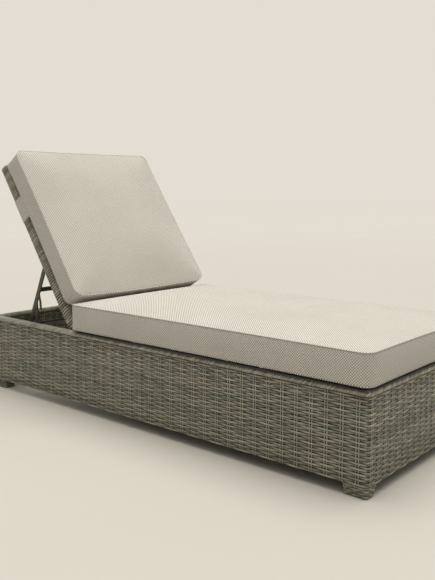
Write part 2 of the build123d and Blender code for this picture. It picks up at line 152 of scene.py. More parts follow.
# --- Mesh building --------------------------------------------------------------------------
def make_mesh(name, verts, face_sets, uv=None, tone=None, material=None):
    """A mesh object from whole arrays: points, sets of equal-sided faces, one UV row for each
    face corner, and one tone for each point."""
    mesh = bpy.data.meshes.new(name)
    verts = np.ascontiguousarray(verts, dtype=np.float32).reshape(-1, 3)
    counts = np.concatenate([np.full(len(faces), faces.shape[1]) for faces in face_sets])
    corners = np.concatenate([faces.ravel() for faces in face_sets])
    mesh.vertices.add(len(verts))
    mesh.vertices.foreach_set("co", verts.ravel())
    mesh.loops.add(len(corners))
    mesh.loops.foreach_set("vertex_index", corners.astype(np.int32))
    mesh.polygons.add(len(counts))
    starts = np.concatenate([[0], np.cumsum(counts)[:-1]])
    mesh.polygons.foreach_set("loop_start", starts.astype(np.int32))
    mesh.polygons.foreach_set("loop_total", counts.astype(np.int32))
    mesh.polygons.foreach_set("use_smooth", np.ones(len(counts), dtype=bool))
    if uv is not None:
        layer = mesh.uv_layers.new(name="UVMap")
        layer.data.foreach_set("uv", np.ascontiguousarray(uv, dtype=np.float32).ravel())
    if tone is not None:
        attribute = mesh.attributes.new("tone", "FLOAT", "POINT")
        attribute.data.foreach_set("value", np.ascontiguousarray(tone, dtype=np.float32).ravel())
    mesh.update(calc_edges=True)
    mesh.validate()
    piece = bpy.data.objects.new(name, mesh)
    bpy.context.scene.collection.objects.link(piece)
    if material is not None:
        mesh.materials.append(material)
    return piece


def unit(vectors):
    """Vectors scaled to length one."""
    return vectors / np.linalg.norm(vectors, axis=-1, keepdims=True)


def grid_cells(grid):
    """The four corners of each cell of an open grid, the first axis first. The grid may hold point
    numbers or places."""
    return np.stack([grid[:-1, :-1], grid[1:, :-1], grid[1:, 1:], grid[:-1, 1:]], 2)


def tube_quads(rings):
    """The quads between each ring of point numbers and the next. The last two axes count the rings
    and the points round them, and each ring is closed."""
    turned = np.roll(rings, -1, axis=-1)
    return np.stack([rings[..., :-1, :], turned[..., :-1, :], turned[..., 1:, :],
                     rings[..., 1:, :]], -1)


def in_space(plan, height):
    """Points in space from points in plan and their heights."""
    height = np.broadcast_to(height, plan.shape[:-1])
    return np.concatenate([plan, height[..., None]], -1)


PAINTED_EDGE_SHADE = 0.7            # painted shade: how much darker a strand is painted along its edges than on its crown
LONGEST_OFFSET = 9.0        # metres by which one strand's grain may start later than another's


class Strands:
    """Gathers swept strands and turns them into one mesh."""

    def __init__(self, seed):
        self.verts = []
        self.quads = []
        self.caps = []
        self.quad_uv = []
        self.cap_uv = []
        self.tones = []
        self.count = 0
        self.random = np.random.default_rng(seed)

    def add(self, centre, outward, half_width, half_thick, ring=6, tone=None, edge=PAINTED_EDGE_SHADE):
        """Rows of strands: a flat oval carried along each row of centre points. A section point
        is centre + side * half_width * cos(a) + outward * half_thick * sin(a), where side is
        outward x tangent, so the flat of the strand faces outward. As painted shade, the tone falls by
        the edge shade times (1 - |sin(a)|), so a strand is painted darker along its two edges than on
        its crown. Without a tone, each strand gets one at random."""
        rows, steps = centre.shape[:2]
        tangent = unit(np.gradient(centre, axis=1))
        outward = np.broadcast_to(outward, centre.shape)
        outward = unit(outward - (outward * tangent).sum(-1, keepdims=True) * tangent)
        side = np.cross(outward, tangent)
        half_width = np.broadcast_to(half_width, (rows, steps))[..., None, None]
        half_thick = np.broadcast_to(half_thick, (rows, steps))[..., None, None]
        angle = np.arange(ring) * 2 * np.pi / ring
        verts = (centre[:, :, None] + side[:, :, None] * half_width * np.cos(angle)[:, None]
                 + outward[:, :, None] * half_thick * np.sin(angle)[:, None])
        index = self.count + np.arange(rows * steps * ring).reshape(rows, steps, ring)
        length = np.zeros((rows, steps))
        length[:, 1:] = np.cumsum(np.linalg.norm(np.diff(centre, axis=1), axis=-1), axis=1)
        length += self.random.uniform(0.0, LONGEST_OFFSET, (rows, 1))
        along = np.broadcast_to(length[:, :, None], index.shape)
        share = np.broadcast_to(np.arange(ring) / ring, index.shape)
        here = np.stack([along, share], -1)
        there = np.stack([along, share + 1 / ring], -1)
        uv = np.stack([here[:, :-1], there[:, :-1], there[:, 1:], here[:, 1:]], -2)
        caps = np.concatenate([index[:, 0, ::-1], index[:, -1]])
        self.verts.append(verts.reshape(-1, 3))
        self.quads.append(tube_quads(index).reshape(-1, 4))
        self.quad_uv.append(uv.reshape(-1, 2))
        self.caps.append(caps)
        self.cap_uv.append(np.concatenate([here[:, 0, ::-1], here[:, -1]]).reshape(-1, 2))
        if tone is None:
            tone = self.random.uniform(0.0, 1.0, (rows, 1, 1))
        # painted shade: the tone falls towards the strand's two edges
        shaded = tone - edge * (1.0 - np.abs(np.sin(angle)))
        self.tones.append(np.broadcast_to(shaded, index.shape).ravel())
        self.count += index.size

    def finish(self, name, material):
        """One mesh of every strand, closed at its ends."""
        faces = [np.concatenate(self.quads)]
        uv = list(self.quad_uv)
        for ring in sorted({caps.shape[1] for caps in self.caps}):
            chosen = [n for n, caps in enumerate(self.caps) if caps.shape[1] == ring]
            faces.append(np.concatenate([self.caps[n] for n in chosen]))
            uv += [self.cap_uv[n] for n in chosen]
        return make_mesh(name, np.concatenate(self.verts), faces, np.concatenate(uv),
                         np.concatenate(self.tones), material)


# --- Shader groups and materials ------------------------------------------------------------
class Nodes:
    """Short ways to add and join shader nodes in one tree."""

    def __init__(self, tree):
        self.tree = tree

    def new(self, kind, values=None, **options):
        node = self.tree.nodes.new(kind)
        for key, value in options.items():
            setattr(node, key, value)
        for socket, value in (values or {}).items():
            self.feed(node.inputs[socket], value)
        return node

    def feed(self, socket, value):
        if isinstance(value, bpy.types.NodeSocket):
            self.tree.links.new(value, socket)
        else:
            socket.default_value = value

    def math(self, operation, *values):
        node = self.new("ShaderNodeMath", operation=operation)
        for socket, value in zip(node.inputs, values):
            self.feed(socket, value)
        return node.outputs[0]

    def mix(self, factor, first, second, blend="MIX"):
        node = self.new("ShaderNodeMix", data_type="RGBA", blend_type=blend)
        self.feed(node.inputs[0], factor)
        self.feed(node.inputs[6], first)
        self.feed(node.inputs[7], second)
        return node.outputs[2]

    def stretch(self, place, factors):
        """A place with each part multiplied by its own factor."""
        return self.new("ShaderNodeVectorMath", {0: place, 1: factors}, operation="MULTIPLY").outputs[0]

    def noise(self, place, scale, detail, roughness=0.5):
        """Soft noise from 0 to 1 over a place."""
        node = self.new("ShaderNodeTexNoise", {"Vector": place, "Scale": scale, "Detail": detail,
                                               "Roughness": roughness})
        return node.outputs["Fac"]

    def span(self, value, low, high, to_low=0.0, to_high=1.0, clamp=True):
        node = self.new("ShaderNodeMapRange", clamp=clamp)
        for number, item in enumerate((value, low, high, to_low, to_high)):
            self.feed(node.inputs[number], item)
        return node.outputs[0]


def group_of(name, inputs, outputs):
    """A new shader group with its sockets and its inner nodes' helper."""
    tree = bpy.data.node_groups.new(name, "ShaderNodeTree")
    for socket, kind, default in inputs:
        item = tree.interface.new_socket(socket, in_out="INPUT", socket_type=kind)
        if default is not None:
            item.default_value = default
    for socket, kind in outputs:
        tree.interface.new_socket(socket, in_out="OUTPUT", socket_type=kind)
    nodes = Nodes(tree)
    return tree, nodes, nodes.new("NodeGroupInput").outputs, nodes.new("NodeGroupOutput").inputs


def patches_group():
    """Slow patches of four strand colours over an object, stretched along its length."""
    colour = "NodeSocketColor"
    tree, nodes, given, out = group_of(
        "strand_patches",
        [("Place", "NodeSocketVector", None), ("Grey", colour, None), ("Brown", colour, None),
         ("Green", colour, None), ("Dark", colour, None), ("Tone", "NodeSocketFloat", 0.5)],
        [("Color", colour)])
    place = nodes.stretch(given["Place"], (9.0, 9.0, 34.0))
    elsewhere = nodes.new("ShaderNodeVectorMath", {0: place, 1: (31.0, 17.0, 5.0)},
                          operation="ADD").outputs[0]
    warm = nodes.span(nodes.noise(place, 1.0, 2.5), 0.55, 0.68)
    cool = nodes.span(nodes.noise(elsewhere, 0.8, 2.5), 0.54, 0.68)
    deep = nodes.span(nodes.noise(elsewhere, 1.7, 3.0), 0.50, 0.78, 0.0, 0.6)
    color = nodes.mix(warm, given["Grey"], given["Brown"])
    color = nodes.mix(cool, color, given["Green"])
    color = nodes.mix(deep, color, given["Dark"])
    # the tone lightens or darkens the colour: random strand tones, with painted shade on strand edges,
    # on rows behind stakes and on the rim under the seat cushion
    lightness = nodes.math("MAXIMUM", nodes.span(given["Tone"], 0.0, 1.0, 0.72, 1.28, False), 0.12)
    nodes.feed(out["Color"], nodes.mix(1.0, color, lightness, "MULTIPLY"))
    return tree


def grain_group():
    """Fine drawn grain along a strand from its own UV map, as a tint and a height."""
    tree, nodes, given, out = group_of(
        "drawn_grain", [("Along and round", "NodeSocketVector", None)],
        [("Tint", "NodeSocketFloat"), ("Height", "NodeSocketFloat")])
    grain = nodes.noise(nodes.stretch(given[0], (22.0, 9.0, 1.0)), 1.0, 4.0, 0.6)
    faded = nodes.noise(nodes.stretch(given[0], (14.0, 0.0, 0.0)), 1.0, 2.0)
    streak = nodes.span(grain, 0.3, 0.7, 0.86, 1.14)
    nodes.feed(out["Tint"], nodes.math("MULTIPLY", streak, nodes.span(faded, 0.3, 0.7, 0.8, 1.2)))
    nodes.feed(out["Height"], grain)
    return tree


def cloth_group():
    """Basket weave on a flat UV map in metres, as a mask of raised yarn, a height and slubs. The
    height is sin(pi x / pitch) * sin(pi y / pitch), so raised blocks and hollows take turns, and
    a fine noise roughens them."""
    value = "NodeSocketFloat"
    tree, nodes, given, out = group_of(
        "basket_weave", [("Flat place", "NodeSocketVector", None), ("Pitch", value, 0.0048)],
        [("Yarn", value), ("Height", value), ("Slub", value)])
    parts = nodes.new("ShaderNodeSeparateXYZ", {0: given[0]}).outputs[:2]
    turns = [nodes.math("DIVIDE", nodes.math("MULTIPLY", part, math.pi), given["Pitch"])
             for part in parts]
    blocks = nodes.math("MULTIPLY", *(nodes.math("SINE", turn) for turn in turns))
    fuzz = nodes.span(nodes.noise(given[0], 900.0, 2.0), 0.0, 1.0, -0.25, 0.25)
    rough = nodes.math("ADD", blocks, fuzz)
    nodes.feed(out["Yarn"], nodes.span(rough, -0.55, 0.55))
    nodes.feed(out["Height"], nodes.math("MULTIPLY", rough, 0.5))
    nodes.feed(out["Slub"], nodes.noise(nodes.stretch(given[0], (60.0, 420.0, 1.0)), 1.0, 3.0))
    return tree


def wear_group():
    """Dust and small scuffs on painted or moulded metal, from where a point lies."""
    value = "NodeSocketFloat"
    tree, nodes, given, out = group_of(
        "small_wear", [("Place", "NodeSocketVector", None), ("Scale", value, 60.0)],
        [("Dust", value), ("Scuff", value), ("Height", value)])
    cloud = nodes.noise(given["Place"], given["Scale"], 4.0)
    nodes.feed(out["Dust"], nodes.span(cloud, 0.45, 0.75))
    nodes.feed(out["Scuff"], nodes.span(cloud, 0.62, 0.70))
    nodes.feed(out["Height"], nodes.noise(given["Place"], 1400.0, 2.0))
    return tree


shader_groups = {}
materials = {}


def shared_group(name):
    """One of the shader groups, built the first time it is asked for."""
    makers = {"patches": patches_group, "grain": grain_group, "cloth": cloth_group, "wear": wear_group}
    if name not in shader_groups:
        shader_groups[name] = makers[name]()
    return shader_groups[name]


def new_material(name):
    """An empty Principled material and its helper."""
    material = bpy.data.materials.new(name)
    material.use_nodes = True
    nodes = Nodes(material.node_tree)
    surface = material.node_tree.nodes["Principled BSDF"]
    return material, nodes, surface


def bump(nodes, surface, height, distance, strength):
    """Feed a height to the surface's normal."""
    node = nodes.new("ShaderNodeBump", {"Height": height, "Distance": distance, "Strength": strength})
    nodes.feed(surface.inputs["Normal"], node.outputs[0])


def wicker_material(name, brightness, warm):
    """Weathered resin strand: slow colour patches, a tone for each strand that is random and holds
    painted shade, and drawn grain. A warm one has brown patches in place of the green ones."""
    weave = bpy.context.scene.lounger_weave
    material, nodes, surface = new_material(name)
    place = nodes.new("ShaderNodeTexCoord").outputs["Object"]
    uv = nodes.new("ShaderNodeUVMap", uv_map="UVMap").outputs[0]
    tone = nodes.new("ShaderNodeAttribute", attribute_name="tone").outputs["Fac"]
    patches = nodes.new("ShaderNodeGroup", node_tree=shared_group("patches"))
    nodes.feed(patches.inputs["Place"], place)
    nodes.feed(patches.inputs["Tone"], tone)
    cool = weave.brown if warm else weave.green
    for socket, colour in (("Grey", weave.grey), ("Brown", weave.brown), ("Green", cool),
                           ("Dark", weave.dark)):
        patches.inputs[socket].default_value = [*(part * brightness for part in colour), 1.0]
    grain = nodes.new("ShaderNodeGroup", {0: uv}, node_tree=shared_group("grain"))
    nodes.feed(surface.inputs["Base Color"],
               nodes.mix(1.0, patches.outputs[0], grain.outputs["Tint"], "MULTIPLY"))
    nodes.feed(surface.inputs["Roughness"], nodes.span(grain.outputs["Height"], 0.3, 0.7, 0.42, 0.6))
    surface.inputs["Specular IOR Level"].default_value = 0.45
    bump(nodes, surface, grain.outputs["Height"], 0.0006, 0.6)
    return material


FLAT_CLOTH = 0.35           # share of light yarn left in the hollows of cloth without contrast
DUST_COLOUR = (0.32, 0.29, 0.24)
SCUFF_SHARE = 0.35          # how much of the bare metal shows in a scuff
DUST_ROUGHNESS = 0.22       # how much rougher a dusty patch is


def fabric_material(name, darker, contrast):
    """Cream and taupe basket cloth with slubs, a little sheen and a soft surface."""
    cushion = bpy.context.scene.lounger_cushion
    material, nodes, surface = new_material(name)
    uv = nodes.new("ShaderNodeUVMap", uv_map="UVMap").outputs[0]
    place = nodes.new("ShaderNodeTexCoord").outputs["Object"]
    cloth = nodes.new("ShaderNodeGroup", {0: uv, 1: cushion.yarn}, node_tree=shared_group("cloth"))
    light = [*(part * (1.0 - darker) for part in cushion.light), 1.0]
    shade = [*(part * (1.0 - darker) for part in cushion.shade), 1.0]
    least = FLAT_CLOTH * (1.0 - contrast)
    woven = nodes.mix(nodes.span(cloth.outputs["Yarn"], 0.0, 1.0, least, 1.0), shade, light)
    slubs = nodes.span(cloth.outputs["Slub"], 0.3, 0.7, 0.93, 1.06)
    broad = nodes.span(nodes.noise(place, 5.0, 3.0), 0.3, 0.7, 0.97, 1.03)
    tint = nodes.math("MULTIPLY", slubs, broad)
    nodes.feed(surface.inputs["Base Color"], nodes.mix(1.0, woven, tint, "MULTIPLY"))
    nodes.feed(surface.inputs["Roughness"], nodes.span(cloth.outputs["Yarn"], 0.0, 1.0, 0.95, 0.82))
    surface.inputs["Specular IOR Level"].default_value = 0.2
    surface.inputs["Sheen Weight"].default_value = 0.12
    surface.inputs["Sheen Roughness"].default_value = 0.5
    bump(nodes, surface, cloth.outputs["Height"], 0.0009, 0.7)
    return material


def metal_material(name, paint, bare, metallic, roughness, dust, scale):
    """Coated or bare metal with dust in patches, scuffs to the metal and a fine texture."""
    material, nodes, surface = new_material(name)
    place = nodes.new("ShaderNodeTexCoord").outputs["Object"]
    wear = nodes.new("ShaderNodeGroup", {0: place, 1: scale}, node_tree=shared_group("wear"))
    dusty = nodes.mix(nodes.math("MULTIPLY", wear.outputs["Dust"], dust), [*paint, 1.0],
                      [*DUST_COLOUR, 1.0])
    scuffs = nodes.math("MULTIPLY", wear.outputs["Scuff"], SCUFF_SHARE)
    nodes.feed(surface.inputs["Base Color"], nodes.mix(scuffs, dusty, [*bare, 1.0]))
    nodes.feed(surface.inputs["Roughness"],
               nodes.span(wear.outputs["Dust"], 0.0, 1.0, roughness, roughness + DUST_ROUGHNESS))
    surface.inputs["Metallic"].default_value = metallic
    bump(nodes, surface, wear.outputs["Height"], 0.0002, 0.35)
    return material


METALS = {
    # finish: material, paint, bare metal, metallic, roughness, dust, size of the patches
    "bronze": ("bronze_coat", (0.088, 0.088, 0.066), (0.24, 0.23, 0.19), 0.35, 0.42, 0.25, 60.0),
    "frame": ("frame_coat", (0.10, 0.096, 0.078), (0.40, 0.39, 0.37), 0.2, 0.5, 0.25, 60.0),
    "deck": ("deck_coat", (0.13, 0.124, 0.10), (0.45, 0.44, 0.42), 0.2, 0.52, 0.4, 60.0),
    "fastener": ("fastener_steel", (0.46, 0.45, 0.43), (0.62, 0.61, 0.59), 0.95, 0.34, 0.15, 200.0),
    "glide": ("glide_plastic", (0.035, 0.034, 0.030), (0.10, 0.10, 0.095), 0.0, 0.6, 0.3, 120.0),
}
WICKERS = {
    # finish: material, brightness, warm
    "wicker": ("wicker_outer", 1.0, False),
    # painted light: the inside copy of the wicker is made brighter, for the light on the base's inner
    # faces
    "wicker_inside": ("wicker_inside", 1.3, False),
    # painted light: the rim's copy of the wicker is made brighter, for the light on the rim's top
    "wicker_rim": ("wicker_rim", 1.25, False),
    "wicker_sleeve": ("wicker_sleeve", 1.25, True),
}
CLOTHS = {
    # finish: material, share by which it is darker, contrast
    "fabric": ("cushion_cloth", 0.0, 1.0),
    # painted shade: the boxing cloth is a darker copy of the cushion cloth, for the shade on the
    # cushions' sides; the strap and the back cushion's rear seam cord use it too
    "boxing": ("boxing_cloth", 0.2, 1.0),
    # painted shade: the seat's seam cords are a darker copy of the cushion cloth, for the dark line of
    # shade along its seams
    "seam": ("seam_cord", 0.36, 1.0),
    # painted highlight: the back cushion's front seam cord is a lighter copy of the cushion cloth, for
    # the highlight along that seam
    "seam_painted_highlight": ("seam_cord_light", 0.0, 0.5),
}


def make_materials():
    """Every finish of the lounger, by name."""
    for maker, finishes in ((wicker_material, WICKERS), (fabric_material, CLOTHS),
                            (metal_material, METALS)):
        for finish, values in finishes.items():
            materials[finish] = maker(*values)


# --- Weave on loops -------------------------------------------------------------------------
def loop_place(count, half, round_, stakes):
    """Points on a rounded rectangle and their outward directions. The count runs through the
    stake spacings of the near, foot, far and head sides in turn. On a side of half length h the
    way runs half an arc, the straight, and half an arc, at an even speed."""
    half_x, half_y = half
    spans = np.array([stakes[0], stakes[1], stakes[0], stakes[1]])
    starts = np.concatenate([[0.0], np.cumsum(spans)])
    count = np.mod(count, starts[-1])
    side = np.clip(np.searchsorted(starts, count, side="right") - 1, 0, 3)
    share = (count - starts[side]) / spans[side]
    along_x = side % 2 == 0
    run = np.where(along_x, half_x, half_y) - round_
    reach = np.where(along_x, half_y, half_x)
    arc = round_ * np.pi / 4
    way = share * 2 * (run + arc) - run - arc
    turn = np.sign(way) * np.maximum(np.abs(way) - run, 0.0) / round_
    forward = np.clip(way, -run, run) + round_ * np.sin(turn)
    out = reach - round_ + round_ * np.cos(turn)
    quarter = side * np.pi / 2
    ahead = np.stack([np.cos(quarter), np.sin(quarter)], -1)
    away = np.stack([np.sin(quarter), -np.cos(quarter)], -1)
    point = ahead * forward[..., None] + away * out[..., None]
    normal = ahead * np.sin(turn)[..., None] + away * np.cos(turn)[..., None]
    return point, normal


STAKE_TONE = 1.35           # stakes are paler than the rows
PAINTED_DEPTH_SHADE = 0.45          # painted shade: how much darker a row is painted where it passes behind a stake
STAKE_START = 0.9           # where the first stake stands, in spacings from the near head corner
STAKE_LEVELS = 4            # points along an upright stake
ROW_POWER = 0.8             # below one, a row turns sharply at a stake and runs straighter between
ROW_NARROW = 0.80           # share of a strand's width at a stake
ROW_WIDENS = 0.30           # share by which it is wider between two stakes
ROW_LEAST = 0.9             # least share of a strand's width on the feet and the panel
DRIFT = 0.0004              # how far a row wanders up and down
DRIFT_WAVES = 4             # waves that add up to the wandering
DRIFT_FIRST = 0.17          # the slowest wave, in radians a stake spacing
DRIFT_NEXT = 0.23           # how much quicker each following wave is
DRIFT_PHASE = 7.0           # most radians by which a wave is shifted


def skin_place(count, inset, stakes):
    """Plan points and outward directions on a skin that lies inside the base's outline."""
    return loop_place(count, (END_X - inset, SIDE_Y - inset), max(RIM_ROUND - inset, INNER_CORNER),
                      stakes)


def swelling(wave, widens):
    """Share of a strand's width: least where the wave is lowest, and wider towards its top."""
    return ROW_LEAST + widens * (0.5 + 0.5 * wave)


def woven_rows(strands, span, steps, heights, stakes, inset, inward, ring):
    """Rows round the base: the offset from the wall is swing * cos(pi (count - start + row)), so
    each row passes outside one stake and inside the next, and its neighbours do the opposite.
    A row is wider between the stakes, and painted darker where it passes behind them, as painted shade."""
    weave = bpy.context.scene.lounger_weave
    count = np.linspace(span[0], span[1], steps)
    point, normal = skin_place(count, inset, stakes)
    phase = np.pi * (count - STAKE_START + np.arange(len(heights))[:, None])
    wave = np.cos(phase)
    wave = np.sign(wave) * np.abs(wave) ** ROW_POWER
    wobble = strands.random.uniform(-1.0, 1.0, (len(heights), DRIFT_WAVES + 1))
    drift = sum(wobble[:, [n]] * np.sin(count * (DRIFT_FIRST + DRIFT_NEXT * n)
                                        + DRIFT_PHASE * wobble[:, [n]])
                for n in range(DRIFT_WAVES))
    centre = in_space(point + normal * (weave.swing * wave)[..., None],
                      heights[:, None] + DRIFT * drift)
    facing = in_space(np.broadcast_to(normal * inward, centre.shape[:-1] + (2,)), 0.0)
    half_width = weave.strand_width / 2 * (ROW_NARROW + ROW_WIDENS * np.sin(phase) ** 2)
    # painted shade: a row is darker where it passes behind a stake
    tone = strands.random.uniform(0.0, 1.0, (len(heights), 1)) + PAINTED_DEPTH_SHADE * wave * inward
    strands.add(centre, facing, half_width, weave.strand_thick / 2, ring, tone[..., None])


def woven_stakes(strands, span, low, high, stakes, inset):
    """Pairs of round upright stakes, one pair at each whole count after the start."""
    weave = bpy.context.scene.lounger_weave
    first = math.ceil(span[0] - STAKE_START)
    last = math.floor(span[1] - STAKE_START - 1e-6)
    counts = np.arange(first, last + 1) + STAKE_START
    point, normal = skin_place(counts, inset, stakes)
    ahead = np.stack([-normal[:, 1], normal[:, 0]], -1)
    heights = np.linspace(low, high, STAKE_LEVELS)
    for hand in (-1, 1):
        foot = point + hand * ahead * weave.stake_gap / 2
        shape = (len(counts), STAKE_LEVELS, 2)
        centre = in_space(np.broadcast_to(foot[:, None], shape), heights)
        facing = in_space(np.broadcast_to(normal[:, None], shape), 0.0)
        strands.add(centre, facing, weave.stake_radius, weave.stake_radius, tone=STAKE_TONE)


PAINTED_SHADOW_UNDER_SEAT = 2.4         # painted shadow: how much darker the rim is painted under the edge of the seat cushion
SHADOW_FADE = 0.03         # length over which that painted shadow starts behind the cushion
SHADOW_HEIGHTS = (-0.65, -0.15)    # where it starts and is full, in rim depths above the rim's top
RIM_DEPTH = 0.0175          # how far the strands over the rim reach down each face
RIM_STEPS = 13              # points along one of these strands
RIM_SLANT = 1.1             # how far a strand moves along the wall for its own length
RIM_HALF_WIDTH = 0.42       # half of a strand's width, in pitches
RIM_HALF_THICK = 0.7        # half of its thickness, in strand thicknesses


def rim_wraps(strands, span, stakes, pitch_count):
    """Strands laid over the rim on the slant. Across the wall a strand climbs the outer face,
    goes over the rounded top and down the inner face, and moves steadily along the wall."""
    weave = bpy.context.scene.lounger_weave
    r = RIM_ROUND
    quarter = r * np.pi / 2
    lengths = np.array([RIM_DEPTH - r, quarter, WALL - 2 * r, quarter, RIM_DEPTH - r])
    ends = np.concatenate([[0.0], np.cumsum(lengths)])
    way = np.linspace(0.0, ends[-1], RIM_STEPS)
    first_turn = np.clip((way - ends[1]) / r, 0.0, np.pi / 2)
    second_turn = np.clip((way - ends[3]) / r, 0.0, np.pi / 2)
    flat_part = np.clip(way - ends[2], 0.0, lengths[2])
    inset = r * (1 - np.cos(first_turn)) + flat_part + r * np.sin(second_turn)
    climb = np.clip(way, 0.0, lengths[0])
    fall = np.clip(way - ends[4], 0.0, None)
    rise = climb + r * np.sin(first_turn) - r * (1 - np.cos(second_turn)) - fall - RIM_DEPTH
    lean = first_turn + second_turn
    starts = np.arange(span[0], span[1], pitch_count)
    count = starts[:, None] + RIM_SLANT * way / (2 * (END_X + SIDE_Y)) * sum(stakes)
    outer, normal = loop_place(count, (END_X, SIDE_Y), r, stakes)
    inner, _ = loop_place(count, (END_X - WALL, SIDE_Y - WALL), INNER_CORNER, stakes)
    across = (inset / WALL)[:, None]
    centre = in_space(outer * (1 - across) + inner * across, RIM_Z + rise)
    outward = in_space(normal * np.cos(lean)[:, None], np.sin(lean))
    tone = strands.random.uniform(0.1, 1.0, (len(starts), 1, 1))
    # painted shadow: the rim is darkened under the seat cushion's edge, fully near the rim's top
    under_seat_shadow = np.clip((centre[:, :1, :1] - SEAT_REAR) / SHADOW_FADE, 0.0, 1.0)
    least, full = SHADOW_HEIGHTS
    shadow_by_height = np.clip((rise / RIM_DEPTH - least) / (full - least), 0.0, 1.0)[:, None]
    strands.add(centre, outward, weave.rim_pitch * RIM_HALF_WIDTH, weave.strand_thick * RIM_HALF_THICK,
                tone=tone - PAINTED_SHADOW_UNDER_SEAT * under_seat_shadow * shadow_by_height)


WALL_SPANS = {"near": 0, "foot": 1, "far": 2, "head": 3}


def stake_counts():
    """Stake spacings of a long and a short wall, and the count at which each wall starts."""
    weave = bpy.context.scene.lounger_weave
    stakes = (weave.side_stakes, weave.end_stakes)
    starts = np.cumsum([0.0, stakes[0], stakes[1], stakes[0], stakes[1]])
    return stakes, starts


OUTER_SKIN = 0.0032         # how far the middle of the outer skin lies inside the wall's face
INNER_SKIN = 0.0042         # how far the middle of the inner skin lies behind the wall's inner face
ROWS_END = 0.017            # how far below the rim's top the rows stop
FIRST_ROW = 0.55            # height of the first row's middle, in rows
STAKE_ENDS = (0.002, 0.012)         # how far the stakes stop short of the wall's foot and top


def build_wall(name, order, seed):
    """One woven wall: outer and inner skins round their stakes, and the strands over the rim. The
    inner skin has fewer points, because it is hardly seen."""
    weave = bpy.context.scene.lounger_weave
    stakes, starts = stake_counts()
    span = (starts[order], starts[order + 1])
    row_count = int((RIM_Z - ROWS_END - WALL_LOW_Z) / weave.row_pitch)
    heights = WALL_LOW_Z + weave.row_pitch * (np.arange(row_count) + FIRST_ROW)

    def skin(piece_name, material, seed, inset, inward, samples, ring):
        strands = Strands(seed)
        steps = int((span[1] - span[0]) * samples) + 1
        woven_rows(strands, span, steps, heights, stakes, inset, inward, ring)
        woven_stakes(strands, span, WALL_LOW_Z + STAKE_ENDS[0], RIM_Z - STAKE_ENDS[1], stakes, inset)
        return strands.finish(f"{piece_name}_{name}", materials[material])

    outer_piece = skin("weave_outside", "wicker", seed, OUTER_SKIN, 1, 8, 6)
    inner_piece = skin("weave_inside", "wicker_inside", seed + 50, WALL - INNER_SKIN, -1, 6, 4)
    rim = Strands(seed + 90)
    wall_run = 2 * (END_X if order % 2 == 0 else SIDE_Y)
    pitch_count = weave.rim_pitch / wall_run * (span[1] - span[0])
    rim_wraps(rim, span, stakes, pitch_count)
    rim_piece = rim.finish(f"rim_wrap_{name}", materials["wicker_rim"])
    for piece in (outer_piece, inner_piece, rim_piece):
        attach(piece, "base")
    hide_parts(f"woven_wall_{name}")


class LOUNGER_OT_walls(Operator):
    """Weave the four walls of the base"""
    bl_idname = "lounger.walls"
    bl_label = "Woven walls"

    def execute(self, context):
        for seed, (name, order) in enumerate(WALL_SPANS.items()):
            build_wall(name, order, seed + 11)
        return {"FINISHED"}


# --- Feet -----------------------------------------------------------------------------------
FOOT_TAPER = 0.005          # how much a foot's half width shrinks from its top to its sole
FOOT_SKIN = 0.0028          # how far the middle of a foot's skin lies inside its outline
FOOT_ROUND = 0.012          # radius of its upright corners
FOOT_STAKES = (4.0, 3.0)    # stake spacings on its long and its short faces
FOOT_STEPS = 9              # points in a stake spacing
FOOT_SWING = 0.0021         # how far a row passes in and out
FOOT_WIDENS = 0.22          # share by which it is wider where it lies outside
FOOT_STAKE_RADIUS = 0.0019
FOOT_STAKE_ENDS = (0.001, 0.004)    # the stakes start above the sole and end inside the wall
CORE_INSET = 0.0058         # how far the plug inside lies within the outline
CORE_ABOVE = 0.006          # how far it reaches up into the wall
CORE_ROUND = 0.009
CORE_EDGE = 0.0015          # size of the slopes at its two ends
CORE_LEVELS = ((0.0, CORE_EDGE), (0.06, 0.0), (0.94, 0.0), (1.0, CORE_EDGE))
CORE_POINTS = 48


def build_foot(end_name, side_name, seed):
    """A tapered corner foot: rows round a rounded rectangle that narrows downwards, with stakes."""
    weave = bpy.context.scene.lounger_weave
    low, high = corners_of(f"foot_{end_name}_{side_name}")
    sole_z, top_z = low[2], WALL_LOW_Z
    middle = (low + high) / 2
    half = (high - low)[:2] / 2
    strands = Strands(seed)
    around = 2 * sum(FOOT_STAKES)
    count = np.linspace(0.0, around, int(around * FOOT_STEPS) + 1)
    row_count = round((top_z - sole_z) / weave.row_pitch)
    heights = sole_z + (np.arange(row_count) + 0.5) * (top_z - sole_z) / row_count
    rows, facing, widths = [], [], []
    for row, height in enumerate(heights):
        narrow = FOOT_TAPER * (top_z - height) / (top_z - sole_z) + FOOT_SKIN
        point, normal = loop_place(count, half - narrow, FOOT_ROUND, FOOT_STAKES)
        wave = np.cos(np.pi * (count + row))
        rows.append(in_space(middle[:2] + point + normal * (FOOT_SWING * wave)[:, None], height))
        facing.append(in_space(normal, 0.0))
        widths.append(weave.strand_width / 2 * swelling(wave, FOOT_WIDENS))
    strands.add(np.array(rows), np.array(facing), np.array(widths), weave.strand_thick / 2)
    ends = []
    for narrow, height in ((FOOT_TAPER + FOOT_SKIN, sole_z + FOOT_STAKE_ENDS[0]),
                           (FOOT_SKIN, top_z + FOOT_STAKE_ENDS[1])):
        point, _ = loop_place(np.arange(around), half - narrow, FOOT_ROUND, FOOT_STAKES)
        ends.append(in_space(middle[:2] + point, height))
    strands.add(np.stack(ends, 1), np.array([1.0, 0.0, 0.0]), FOOT_STAKE_RADIUS, FOOT_STAKE_RADIUS)
    piece = strands.finish(f"foot_weave_{end_name}_{side_name}", materials["wicker"])
    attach(piece, "base")
    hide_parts(f"foot_{end_name}_{side_name}")
    core = foot_core(f"foot_core_{end_name}_{side_name}", middle, half - CORE_INSET, sole_z,
                     top_z + CORE_ABOVE)
    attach(core, "base")


